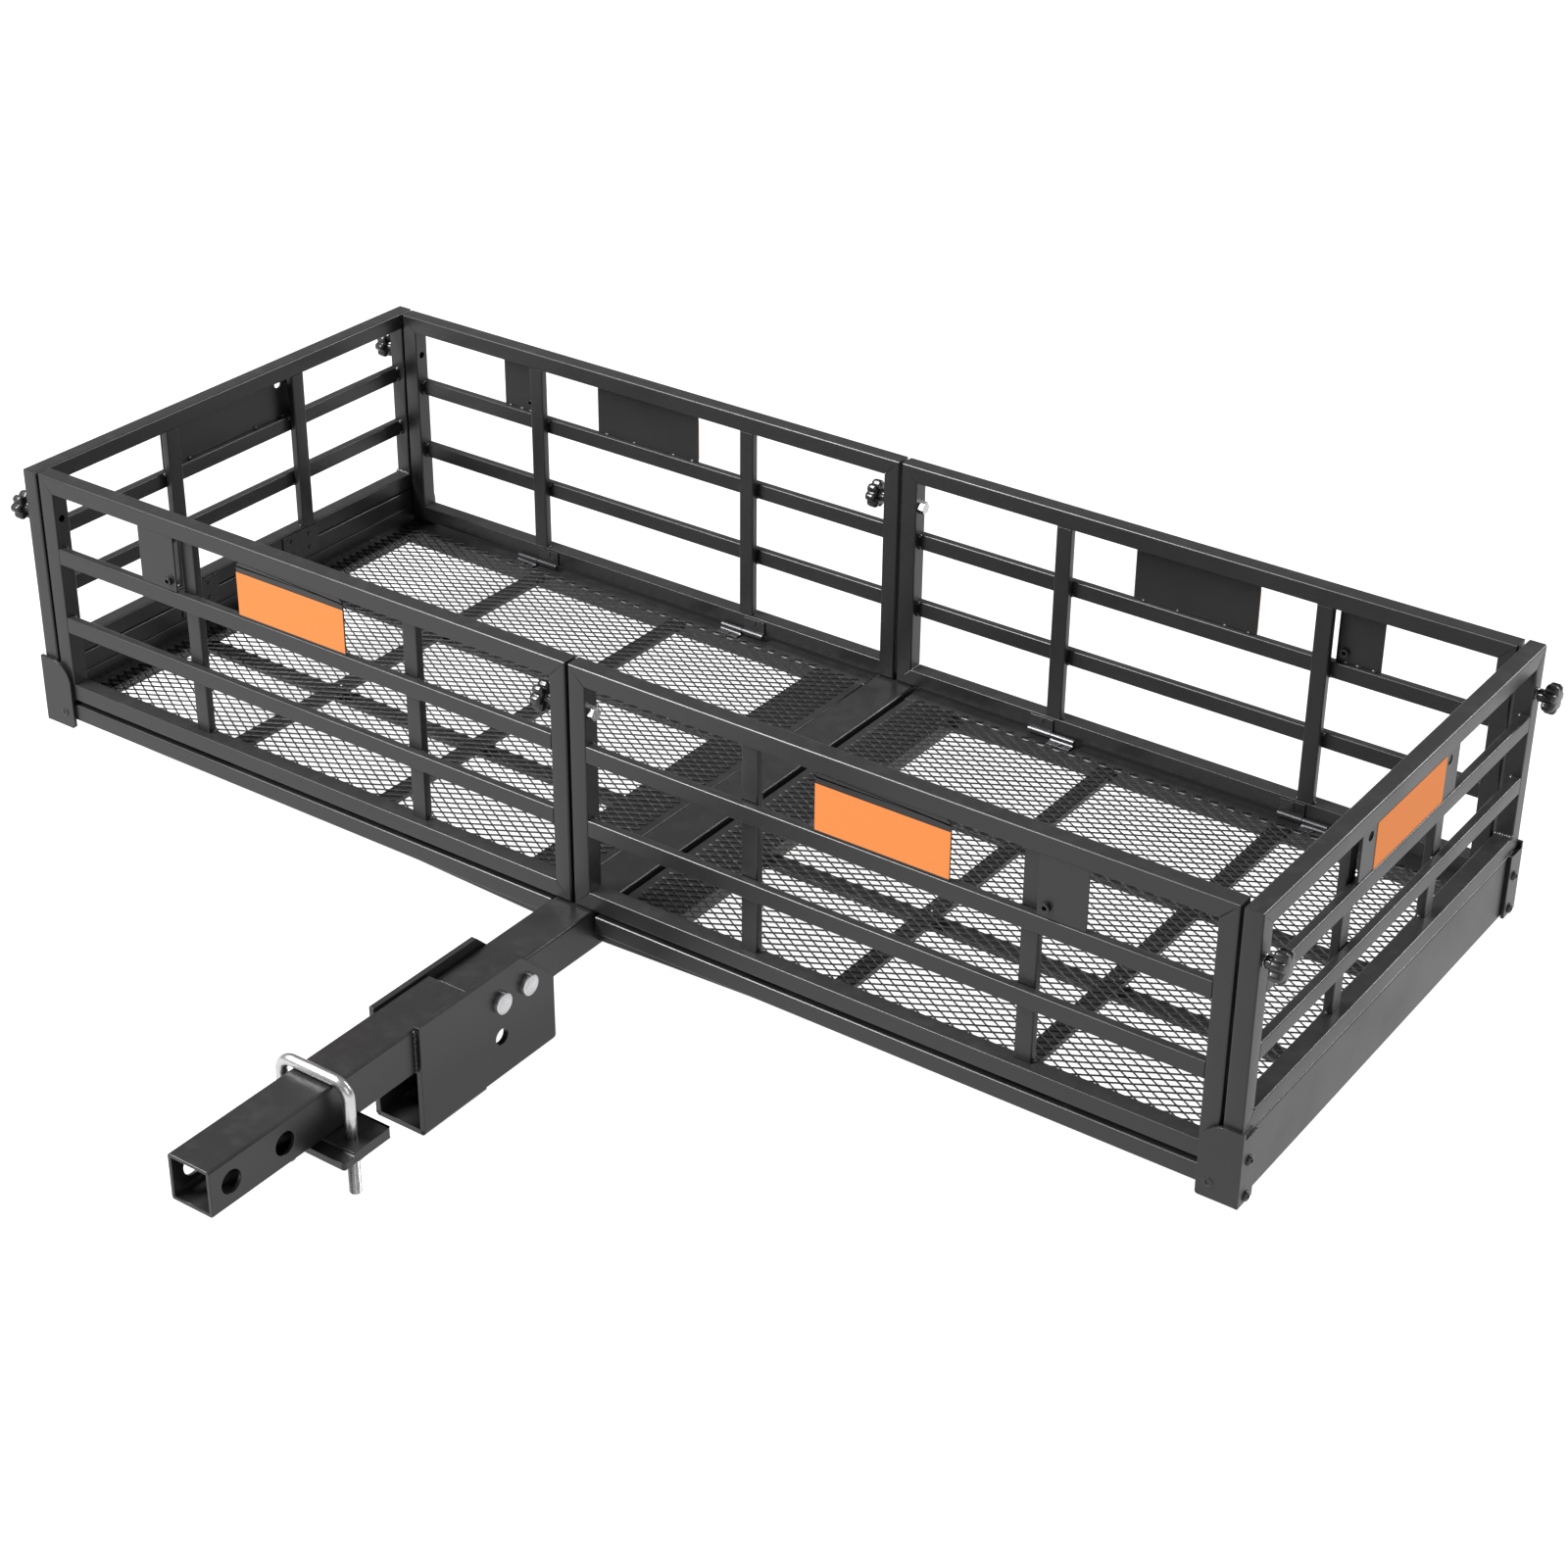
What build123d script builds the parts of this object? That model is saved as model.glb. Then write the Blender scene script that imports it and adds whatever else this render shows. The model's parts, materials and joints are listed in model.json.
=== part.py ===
from build123d import *
import math
import os

os.makedirs("parts", exist_ok=True)

# Folding basket carrier for a 2 in hitch receiver, in millimetres.
# +X runs along the basket, +Y from the vehicle towards the basket's rear, +Z up.
# The origin is the centre of the first hitch pin hole, on the shank's axis.

# Shank and pivot bracket
shank_side = 50.8
shank_wall = 4
shank_corner = 3
shank_front = -26
shank_rear = 320
pin_hole_r = 12
pin_pitch = 68
plate_t = 6.4
plate_top = 28.5
plate_bottom = -93
plate_front = 243.5
plate_rear = 441
plate_chamfer = 48
floor_bottom = -98
floor_t = 6
floor_rear = 334
bracket_corner = 5

# Pivot, lock and storage holes; the bolts are 16 mm
pivot_y = 360
lock_y = 400
bolt_z = -6
storage_z = -47
storage_hole_r = 9
bolt_r = 8
running_gap = 0.05
bolt_head_r = 11.5
bolt_head_t = 6
bolt_rim = 1
bolt_tail = 15
nut_flats = 24
nut_t = 13

# Centre tube of the basket
tube_w = 50
tube_h = 45
tube_wall = 3
tube_front = 329
tube_cap_t = 3
tube_cap_plug = 14
slot_side_gap = 1

# Basket
basket_len = 1524
basket_depth = 611
basket_front = 511.5
basket_rear = basket_front + basket_depth
mid_y = basket_front + basket_depth / 2
half_len = basket_len / 2
tube = 20
wall = 1.5
weld_gap = 0.15
panel_top = 294
panel_bottom = 18
end_panel_bottom = 57
corner_gap = 3
half_gap = 2
face_gap = 0.5
bar_h = 19
bar_t = 9.9
bar_wall = 1.2
upright_w = 19
upright_offset = 157
end_upright = 102

# Badge plates and reflectors
bar_low = (104, 189)
end_bar_low = (130, 202)
reflector_drop = 13
end_reflector_drop = 2
end_badge_holes = (-88, 84)
end_badge_hole_z = 264
badge_w = 150
badge_t = 2
badge_set_back = 1.5
badge_corner = 8
reflector_h = 50
reflector_t = 0.6
side_plate_w = 52
plate_slit = 1.5
end_badge_w = 212
end_badge_hole_r = 5.2

# Tray
tray_top = 12
tray_rail_h = 20
tray_rail_w = 41
side_strip_w = 25
strip_t = 6
tray_left_edge = 29
tray_right_edge = 28.5
strip_edge = 97
screw_spread = 200
tray_screw_x = 46
tray_screw_r = 4
tray_screw_len = 14
tray_screw_head = 5
tray_screw_flats = 13
cross_bar_w = 22
cross_bar_x = (299.5, 513)
long_bar_y = 90.5
spacer_r = 5
mesh_t = 1
mesh_lap = 3
mesh_left_edge = 36
mesh_right_edge = 39.5
board_t = 20
board_bottom = -17
board_top = 56
kick_t = 2
kick_top = 34
kick_end_gap = 24

# Corner gussets
gusset_t = 4
gusset_bottom = -18
gusset_top = 64
gusset_front_w = 44
gusset_end_w = 28
gusset_round = 26
gusset_corner = 5
gusset_bolt_z = (29, -11)
gusset_bolt_in = 11
gusset_bolt_r = 5.5
gusset_bolt_t = 3
gusset_screw_x = 735
gusset_screw_r = 5
gusset_screw_t = 0.8

# Braces and side angles under the tray
brace_w = 18
brace_set_back = 9
brace_end = 400
brace_depth = 14
brace_root = 8
brace_merge = 150
angle_leg = 34
angle_t = 3
angle_drop = 16

# Hinges
hinge_x = (215, 530)
barrel_len = 60
knuckle_gap = 0.5
barrel_r = 3.7
hinge_pin_r = 2
axis_out = 4
leaf_t = 2
leaf_up = 18
leaf_in = 12
end_hinge_y = 85
end_barrel_r = 2.9
end_axis_in = 1.3
end_relief_r = 3.3
end_leaf_reach = 18
end_leaf_t = 1.6
leaf_screw_r = 3
leaf_screw_t = 1

# Knobs
knob_z = 242
knob_in = 10
stud_r = 4
knob_lobes = 7
knob_core_r = 12.5
knob_lobe_r = 4.2
knob_lobe_at = 12
knob_t = 14
neck_r = 6.8
neck_t = 8
washer_r = 6.8
washer_t = 1.5
cap_nut_flats = 13
cap_nut_t = 7
bumper_r = 5
bumper_reach = 4
bumper_in = 10
bumper_z = 220
bumper_socket_r = 2.5

# U-bolt tightener on the shank
clamp_y = 135
clamp_rod_r = 6
clamp_leg = 42
clamp_bend = 10
clamp_foot = -90
clamp_plate_len = 124
clamp_plate_w = 64
clamp_plate_t = 12
clamp_step = 4
clamp_step_w = 14
clamp_washer_r = 14
clamp_washer_t = 3
clamp_nut_flats = 18
clamp_nut_t = 10


def save(node, builder):
    builder.part.label = node
    export_step(builder.part, f"parts/{node}.step")


def block(x, y, z, mode=Mode.ADD):
    """A straight block between two limits on each axis."""
    (x0, x1), (y0, y1), (z0, z1) = sorted(x), sorted(y), sorted(z)
    with Locations(((x0 + x1) / 2, (y0 + y1) / 2, (z0 + z1) / 2)):
        Box(x1 - x0, y1 - y0, z1 - z0, mode=mode)


def box_tube(x, y, z, along, t):
    """A rectangular tube, open at both ends of the named axis."""
    block(x, y, z)
    limits = []
    for axis, span in (("x", x), ("y", y), ("z", z)):
        low, high = sorted(span)
        limits.append((low, high) if axis == along else (low + t, high - t))
    block(*limits, mode=Mode.SUBTRACT)


def rod(plane, u, v, start, length, radius, mode=Mode.ADD):
    """A round rod along the plane's normal."""
    with BuildSketch(plane.offset(start)) as section:
        with Locations((u, v)):
            Circle(radius)
    extrude(section.sketch, amount=length, mode=mode)


def polygon_slab(plane, points, amount, mode=Mode.ADD):
    with BuildSketch(plane) as section:
        Polygon(*points, align=None)
    extrude(section.sketch, amount=amount, mode=mode)


def mitred_frame(plane, a0, a1, b0, b1):
    """Four square tubes mitred at the corners, on a plane with its normal through the frame."""
    g = weld_gap
    for inset, lift, depth, mode in ((0, 0, tube, Mode.ADD), (wall, wall, tube - 2 * wall, Mode.SUBTRACT)):
        i = inset
        j = tube - inset
        where = plane.offset(lift)
        level = [(a0 + i + g, b1 - i), (a1 - i - g, b1 - i), (a1 - j - g, b1 - j), (a0 + j + g, b1 - j)]
        stile = [(a0 + i, b0 + i), (a0 + j, b0 + j), (a0 + j, b1 - j), (a0 + i, b1 - i)]
        polygon_slab(where, level, depth, mode)
        polygon_slab(where, [(a, b0 + b1 - b) for a, b in level], depth, mode)
        polygon_slab(where, stile, depth, mode)
        polygon_slab(where, [(a0 + a1 - a, b) for a, b in stile], depth, mode)


def knuckle(axis_y, start, length, bore_r, strips):
    """One knuckle of a hinge along X, run into the flat strips that carry it, and bored for its pin."""
    with BuildSketch(Plane.YZ.offset(start)) as section:
        with Locations((axis_y, panel_bottom)):
            Circle(barrel_r)
        for span_y, span_z in strips:
            with Locations((sum(span_y) / 2, sum(span_z) / 2)):
                Rectangle(abs(span_y[1] - span_y[0]), abs(span_z[1] - span_z[0]))
        with Locations((axis_y, panel_bottom)):
            Circle(bore_r, mode=Mode.SUBTRACT)
    extrude(section.sketch, amount=length)


def hex_nut(plane, u, v, start, length, flats, bore_r):
    with BuildSketch(plane.offset(start)) as section:
        with Locations((u, v)):
            RegularPolygon(flats / 2, 6, major_radius=False)
            Circle(bore_r, mode=Mode.SUBTRACT)
    extrude(section.sketch, amount=length)


def hex_head(plane, u, v, start, length, flats):
    with BuildSketch(plane.offset(start)) as section:
        with Locations((u, v)):
            RegularPolygon(flats / 2, 6, major_radius=False)
    extrude(section.sketch, amount=length)


def front_plate(side, outward, face):
    """A gusset's plate against the basket's long face, with its inner top corner well rounded."""
    x_low, x_high = sorted((side * (half_len + gusset_t - gusset_front_w), side * (half_len + gusset_t)))
    with BuildSketch(Plane.XZ.offset(-max(face, face + outward * gusset_t))) as section:
        with Locations(((x_low + x_high) / 2, (gusset_bottom + gusset_top) / 2)):
            Rectangle(x_high - x_low, gusset_top - gusset_bottom)
        inner_top = section.vertices().group_by(Axis.Y)[-1].sort_by(Axis.X)[0 if side > 0 else -1]
        fillet(inner_top, gusset_round)
        fillet(section.vertices().group_by(Axis.Y)[0], gusset_corner)
    extrude(section.sketch, amount=gusset_t)


# ---------------------------------------------------------------- shank and bracket
half_shank = shank_side / 2
with BuildPart() as shank_tube:
    with BuildSketch(Plane.XZ.offset(-shank_rear)):
        RectangleRounded(shank_side, shank_side, shank_corner)
        offset(amount=-shank_wall, mode=Mode.SUBTRACT)
    extrude(amount=shank_rear - shank_front)
    for pin_y in (0, pin_pitch):
        rod(Plane.YZ, pin_y, 0, -shank_side, 2 * shank_side, pin_hole_r, Mode.SUBTRACT)
save("shank_tube", shank_tube)

outer = half_shank + plate_t
side_outline = [
    (plate_front, plate_top),
    (plate_rear - plate_chamfer, plate_top),
    (plate_rear, plate_top - plate_chamfer),
    (plate_rear, plate_bottom),
    (floor_rear, plate_bottom),
    (floor_rear, floor_bottom),
    (plate_front, floor_bottom),
]
with BuildPart() as pivot_bracket:
    polygon_slab(Plane.YZ.offset(-outer), side_outline, 2 * outer)
    rear_corners = pivot_bracket.edges().filter_by(Axis.X).filter_by(lambda e: e.center().Y > floor_rear + 1)
    fillet(rear_corners, bracket_corner)
    lower_edges = pivot_bracket.edges().filter_by(Axis.Y).group_by(Axis.Z)[0]
    fillet(lower_edges, bracket_corner)
    inside = (-half_shank, half_shank)
    block(inside, (plate_front, plate_rear), (floor_bottom + floor_t, plate_top), Mode.SUBTRACT)
    block(inside, (floor_rear, plate_rear), (floor_bottom, plate_top), Mode.SUBTRACT)
    for hole_y, hole_z, hole_r in (
        (pivot_y, bolt_z, bolt_r + running_gap),
        (lock_y, bolt_z, bolt_r + running_gap),
        (pivot_y, storage_z, storage_hole_r),
    ):
        rod(Plane.YZ, hole_y, hole_z, -outer, 2 * outer, hole_r, Mode.SUBTRACT)
save("pivot_bracket", pivot_bracket)

for node, bolt_y in (("pivot_bolt", pivot_y), ("lock_bolt", lock_y)):
    with BuildPart() as bolt:
        rod(Plane.YZ, bolt_y, bolt_z, -outer - bolt_tail, 2 * outer + bolt_tail, bolt_r)
        rod(Plane.YZ, bolt_y, bolt_z, outer, bolt_head_t, bolt_head_r)
        fillet(bolt.edges().sort_by(Axis.X)[-1], bolt_rim)
    save(node, bolt)

with BuildPart() as bolt_nuts:
    for bolt_y in (pivot_y, lock_y):
        hex_nut(Plane.YZ, bolt_y, bolt_z, -outer - nut_t, nut_t, nut_flats, bolt_r + running_gap)
save("bolt_nuts", bolt_nuts)

# ---------------------------------------------------------------- U-bolt tightener on the shank
leg_top = half_shank + clamp_rod_r
with BuildPart() as u_bolt:
    with BuildLine() as u_path:
        FilletPolyline(
            (-clamp_leg, clamp_y, clamp_foot),
            (-clamp_leg, clamp_y, leg_top),
            (clamp_leg, clamp_y, leg_top),
            (clamp_leg, clamp_y, clamp_foot),
            radius=clamp_bend + clamp_rod_r,
        )
    with BuildSketch(Plane.XY.offset(clamp_foot)):
        with Locations((-clamp_leg, clamp_y)):
            Circle(clamp_rod_r)
    sweep(path=u_path.wire())
save("u_bolt", u_bolt)

plate_z = -half_shank
clamp_under = plate_z - clamp_plate_t
with BuildPart() as clamp_plate:
    with BuildSketch(Plane.XY.offset(clamp_under)):
        with Locations((0, clamp_y)):
            RectangleRounded(clamp_plate_len, clamp_plate_w, clamp_step)
    extrude(amount=clamp_plate_t)
    step_y = clamp_y - clamp_plate_w / 2
    block(
        (-clamp_plate_len / 2, clamp_plate_len / 2),
        (step_y, step_y + clamp_step_w),
        (plate_z - clamp_step, plate_z),
        Mode.SUBTRACT,
    )
    for side in (-1, 1):
        hole_r = clamp_rod_r + running_gap
        rod(Plane.XY, side * clamp_leg, clamp_y, clamp_under, clamp_plate_t, hole_r, Mode.SUBTRACT)
save("clamp_plate", clamp_plate)

with BuildPart() as clamp_nuts:
    for side in (-1, 1):
        rod(Plane.XY, side * clamp_leg, clamp_y, clamp_under - clamp_washer_t, clamp_washer_t, clamp_washer_r)
        hole_r = clamp_rod_r + running_gap
        low = clamp_under - clamp_washer_t
        rod(Plane.XY, side * clamp_leg, clamp_y, low, clamp_washer_t, hole_r, Mode.SUBTRACT)
        start = clamp_under - clamp_washer_t - clamp_nut_t
        bore = clamp_rod_r + running_gap
        hex_nut(Plane.XY, side * clamp_leg, clamp_y, start, clamp_nut_t, clamp_nut_flats, bore)
save("clamp_nuts", clamp_nuts)

# ---------------------------------------------------------------- centre tube
tube_low = bolt_z - tube_h / 2
tube_high = bolt_z + tube_h / 2
lock_reach = lock_y - pivot_y
lock_slot_r = bolt_r + slot_side_gap
exit_angle = math.degrees(math.asin((tube_h / 2 + lock_slot_r) / lock_reach))
with BuildPart() as center_tube:
    tube_rear = basket_rear - tube_cap_t
    box_tube((-tube_w / 2, tube_w / 2), (tube_front, tube_rear), (tube_low, tube_high), "y", tube_wall)
    rod(Plane.YZ, pivot_y, bolt_z, -tube_w, 2 * tube_w, bolt_r + running_gap, Mode.SUBTRACT)
    # The bolt's way out of the tube as the tube swings up: an arc about the pivot.
    with BuildSketch(Plane.YZ.offset(-tube_w)):
        with BuildLine():
            way = CenterArc((pivot_y, bolt_z), lock_reach, 0, -exit_angle)
            offset(way, amount=bolt_r + running_gap, side=Side.BOTH)
        make_face()
    extrude(amount=2 * tube_w, mode=Mode.SUBTRACT)
save("center_tube", center_tube)

with BuildPart() as tube_cap:
    block((-tube_w / 2, tube_w / 2), (tube_rear, basket_rear), (tube_low, tube_high))
    inner_x = tube_w / 2 - tube_wall
    plug = (tube_rear - tube_cap_plug, tube_rear)
    block((-inner_x, inner_x), plug, (tube_low + tube_wall, tube_high - tube_wall))
save("tube_cap", tube_cap)

# ---------------------------------------------------------------- tray
tray_low = tray_top - tray_rail_h
rail_in_front = basket_front + tray_rail_w
rail_in_rear = basket_rear - tray_rail_w
end_inner = half_len - tube
outer_start = end_inner - side_strip_w
axis_front = basket_front + face_gap + tube + axis_out
axis_rear = basket_rear - face_gap - tube - axis_out
g = weld_gap
between = (rail_in_front + g, rail_in_rear - g)
screw_rows = (mid_y - screw_spread, mid_y, mid_y + screw_spread)
sides = (
    (-1, "left", tray_left_edge, mesh_left_edge),
    (1, "right", tray_right_edge, mesh_right_edge),
)
for side, hand, inner_edge, mesh_edge in sides:
    height = (tray_low, tray_top)
    with BuildPart() as tray_frame:
        for rail in ((basket_front, rail_in_front), (rail_in_rear, basket_rear)):
            box_tube((side * inner_edge, side * end_inner), rail, height, "x", wall)
        box_tube((side * inner_edge, side * strip_edge), between, height, "y", wall)
        block((side * outer_start, side * end_inner), between, (tray_top - strip_t, tray_top))
        for row in screw_rows:
            hole_r = tray_screw_r + running_gap
            rod(Plane.XY, side * tray_screw_x, row, tray_low, 2 * wall, hole_r, Mode.SUBTRACT)
    save(f"tray_frame_{hand}", tray_frame)

    with BuildPart() as tray_mesh:
        mesh_x = (side * mesh_edge, side * (end_inner - kick_t - mesh_lap))
        mesh_y = (rail_in_front - mesh_lap, rail_in_rear + mesh_lap)
        block(mesh_x, mesh_y, (tray_top, tray_top + mesh_t))
    save(f"tray_mesh_{hand}", tray_mesh)

    with BuildPart() as end_board:
        board_x = (side * end_inner, side * (end_inner + board_t))
        box_tube(board_x, (basket_front, basket_rear), (board_bottom, board_top), "y", wall)
        axis_z = (board_top + end_panel_bottom) / 2
        for spot in (-end_hinge_y, end_hinge_y):
            start = -(mid_y + spot + barrel_len / 2)
            axis_x = side * (end_inner + end_axis_in)
            rod(Plane.XZ, axis_x, axis_z, start, barrel_len, end_relief_r, Mode.SUBTRACT)
    save(f"end_board_{hand}", end_board)

# The bars across the floor lie under the mesh, and the long ones lie flush with the frames' underside.
with BuildPart() as tray_bars:
    half_bar = cross_bar_w / 2
    for side in (-1, 1):
        for bar_x in cross_bar_x:
            span_x = (side * (bar_x - half_bar), side * (bar_x + half_bar))
            block(span_x, between, (tray_top - strip_t, tray_top))
        for bar_y in (mid_y - long_bar_y, mid_y + long_bar_y):
            span_x = (side * (strip_edge + g), side * (end_inner - g))
            block(span_x, (bar_y - half_bar, bar_y + half_bar), (tray_low, tray_low + strip_t))
save("tray_bars", tray_bars)

with BuildPart() as kick_strips:
    for side in (-1, 1):
        kick_y = (basket_front + kick_end_gap, basket_rear - kick_end_gap)
        block((side * (end_inner - kick_t), side * end_inner), kick_y, (tray_top, kick_top))
save("kick_strips", kick_strips)

with BuildPart() as braces:
    for side in (-1, 1):
        root_x = tube_w / 2
        outline = [
            (side * root_x, tray_low - brace_depth),
            (side * root_x, tray_low - brace_depth + brace_root),
            (side * brace_merge, tray_low),
            (side * brace_end, tray_low),
        ]
        for brace_y in (basket_front + brace_set_back, basket_rear - brace_set_back - brace_w):
            polygon_slab(Plane.XZ.offset(-brace_y - brace_w), outline, brace_w)
save("braces", braces)

with BuildPart() as side_angles:
    run = (basket_front + brace_set_back + brace_w + g, basket_rear - brace_set_back - brace_w - g)
    for side in (-1, 1):
        inner = side * tube_w / 2
        block((inner, inner + side * angle_leg), run, (tray_low - angle_t, tray_low))
        block((inner, inner + side * angle_t), run, (tray_low - angle_drop, tray_low))
        for row in screw_rows:
            hole_r = tray_screw_r + running_gap
            rod(Plane.XY, side * tray_screw_x, row, tray_low - angle_t, angle_t, hole_r, Mode.SUBTRACT)
save("side_angles", side_angles)

with BuildPart() as tray_screws:
    for side in (-1, 1):
        for row in screw_rows:
            under = tray_low - angle_t
            rod(Plane.XY, side * tray_screw_x, row, under, tray_screw_len, tray_screw_r)
            hex_head(Plane.XY, side * tray_screw_x, row, under - tray_screw_head, tray_screw_head, tray_screw_flats)
        for bar_x in cross_bar_x:
            for bar_y in (mid_y - long_bar_y, mid_y + long_bar_y):
                spacer = tray_rail_h - 2 * strip_t
                rod(Plane.XY, side * bar_x, bar_y, tray_low + strip_t, spacer, spacer_r)
save("tray_screws", tray_screws)

# ---------------------------------------------------------------- corner gussets
with BuildPart() as corner_gussets:
    for side in (-1, 1):
        tip = side * (half_len + gusset_t)
        for outward, face in ((-1, basket_front), (1, basket_rear)):
            front_plate(side, outward, face)
            skin = face + outward * gusset_t
            corner_y = (skin - outward * gusset_end_w, skin)
            block((side * half_len, tip), corner_y, (gusset_bottom, end_panel_bottom))
save("corner_gussets", corner_gussets)

with BuildPart() as gusset_bolts:
    for side in (-1, 1):
        tip = side * (half_len + gusset_t)
        for outward, face in ((-1, basket_front), (1, basket_rear)):
            for z in gusset_bolt_z:
                spot = face - outward * gusset_bolt_in
                start = min(tip, tip + side * gusset_bolt_t)
                rod(Plane.YZ, spot, z, start, gusset_bolt_t, gusset_bolt_r)
            skin = face + outward * gusset_t
            start = -max(skin, skin + outward * gusset_screw_t)
            rod(Plane.XZ, side * gusset_screw_x, 0, start, gusset_screw_t, gusset_screw_r)
    rims = gusset_bolts.edges().filter_by(GeomType.CIRCLE)
    outer_rims = rims.filter_by(lambda e: abs(e.center().X) > half_len + gusset_t + gusset_bolt_t / 2)
    fillet(outer_rims, gusset_bolt_t / 2)
save("gusset_bolts", gusset_bolts)

# ---------------------------------------------------------------- hinges on the tray
with BuildPart() as tray_hinges:
    for side in (-1, 1):
        for spot in hinge_x:
            low, high = side * (spot + knuckle_gap / 2), side * (spot + barrel_len / 2)
            for inward, axis_y in ((1, axis_front), (-1, axis_rear)):
                start = min(low, high)
                length = abs(high - low)
                floor = (axis_y, axis_y + inward * leaf_in), (tray_top, tray_top + leaf_t)
                knuckle(axis_y, start, length, hinge_pin_r, [floor, ((axis_y, axis_y + inward * barrel_r), (tray_top, panel_bottom))])
                screw_at = ((low + high) / 2, axis_y + inward * (leaf_in - leaf_screw_r - 1))
                rod(Plane.XY, *screw_at, tray_top + leaf_t, leaf_screw_t, leaf_screw_r)
save("tray_hinges", tray_hinges)

with BuildPart() as hinge_pins:
    for side in (-1, 1):
        for spot in hinge_x:
            for axis_y in (axis_front, axis_rear):
                start = side * spot - barrel_len / 2
                rod(Plane.YZ, axis_y, panel_bottom, start, barrel_len, hinge_pin_r)
save("hinge_pins", hinge_pins)

with BuildPart() as end_hinges:
    axis_z = (board_top + end_panel_bottom) / 2
    for side in (-1, 1):
        for spot in (-end_hinge_y, end_hinge_y):
            span = (mid_y + spot - barrel_len / 2, mid_y + spot + barrel_len / 2)
            rod(Plane.XZ, side * (end_inner + end_axis_in), axis_z, -span[1], barrel_len, end_barrel_r)
            leaf_x = (side * (end_inner - end_leaf_t), side * end_inner)
            block(leaf_x, span, (axis_z - end_leaf_reach, axis_z + end_leaf_reach))
            for screw_z in (axis_z - end_leaf_reach / 2, axis_z + end_leaf_reach / 2):
                for screw_y in (span[0] + barrel_len / 4, span[1] - barrel_len / 4):
                    skin = end_inner - end_leaf_t - leaf_screw_t
                    start = min(side * skin, side * (skin + leaf_screw_t))
                    rod(Plane.YZ, screw_y, screw_z, start, leaf_screw_t, leaf_screw_r)
save("end_hinges", end_hinges)

# ---------------------------------------------------------------- end panels
end_low = end_panel_bottom
for side, hand, inner_edge, mesh_edge in sides:
    inner_plane = Plane.YZ.offset(end_inner if side > 0 else -half_len)
    with BuildPart() as end_frame:
        mitred_frame(inner_plane, basket_front, basket_rear, end_low, panel_top)
        for knob_y in (basket_front + knob_in, basket_rear - knob_in):
            start = inner_plane.origin.X
            rod(Plane.YZ, knob_y, knob_z, start, tube, stud_r + running_gap, Mode.SUBTRACT)
        for spot in (-end_hinge_y, end_hinge_y):
            start = -(mid_y + spot + barrel_len / 2)
            axis_x = side * (end_inner + end_axis_in)
            rod(Plane.XZ, axis_x, axis_z, start, barrel_len, end_relief_r, Mode.SUBTRACT)
    save(f"end_{hand}_frame", end_frame)

    with BuildPart() as end_bars:
        opening_y = (basket_front + tube + g, basket_rear - tube - g)
        outer_half = (side * (half_len - bar_t), side * half_len)
        for low in end_bar_low:
            box_tube(outer_half, opening_y, (low, low + bar_h), "y", bar_wall)
        inner_half = (side * end_inner, side * (end_inner + bar_t))
        for offset_y in (-end_upright, end_upright):
            upright_y = (mid_y + offset_y - upright_w / 2, mid_y + offset_y + upright_w / 2)
            box_tube(inner_half, upright_y, (end_low + tube + g, panel_top - tube - g), "z", bar_wall)
    save(f"end_{hand}_bars", end_bars)

with BuildPart() as end_badges:
    for side in (-1, 1):
        skin = half_len - badge_set_back
        span_y = (mid_y - end_badge_w / 2, mid_y + end_badge_w / 2)
        span_z = (end_bar_low[1] + bar_h + g, panel_top - tube - g)
        block((side * (skin - badge_t), side * skin), span_y, span_z)
        for hole_y in end_badge_holes:
            start = min(side * skin, side * (skin - badge_t))
            rod(Plane.YZ, mid_y + hole_y, end_badge_hole_z, start, badge_t, end_badge_hole_r, Mode.SUBTRACT)
save("end_badges", end_badges)

with BuildPart() as end_reflectors:
    for side in (-1, 1):
        skin = half_len - badge_set_back
        span_y = (mid_y - badge_w / 2, mid_y + badge_w / 2)
        top = panel_top - tube - end_reflector_drop
        block((side * skin, side * (skin + reflector_t)), span_y, (top - reflector_h, top))
save("end_reflectors", end_reflectors)

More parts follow.
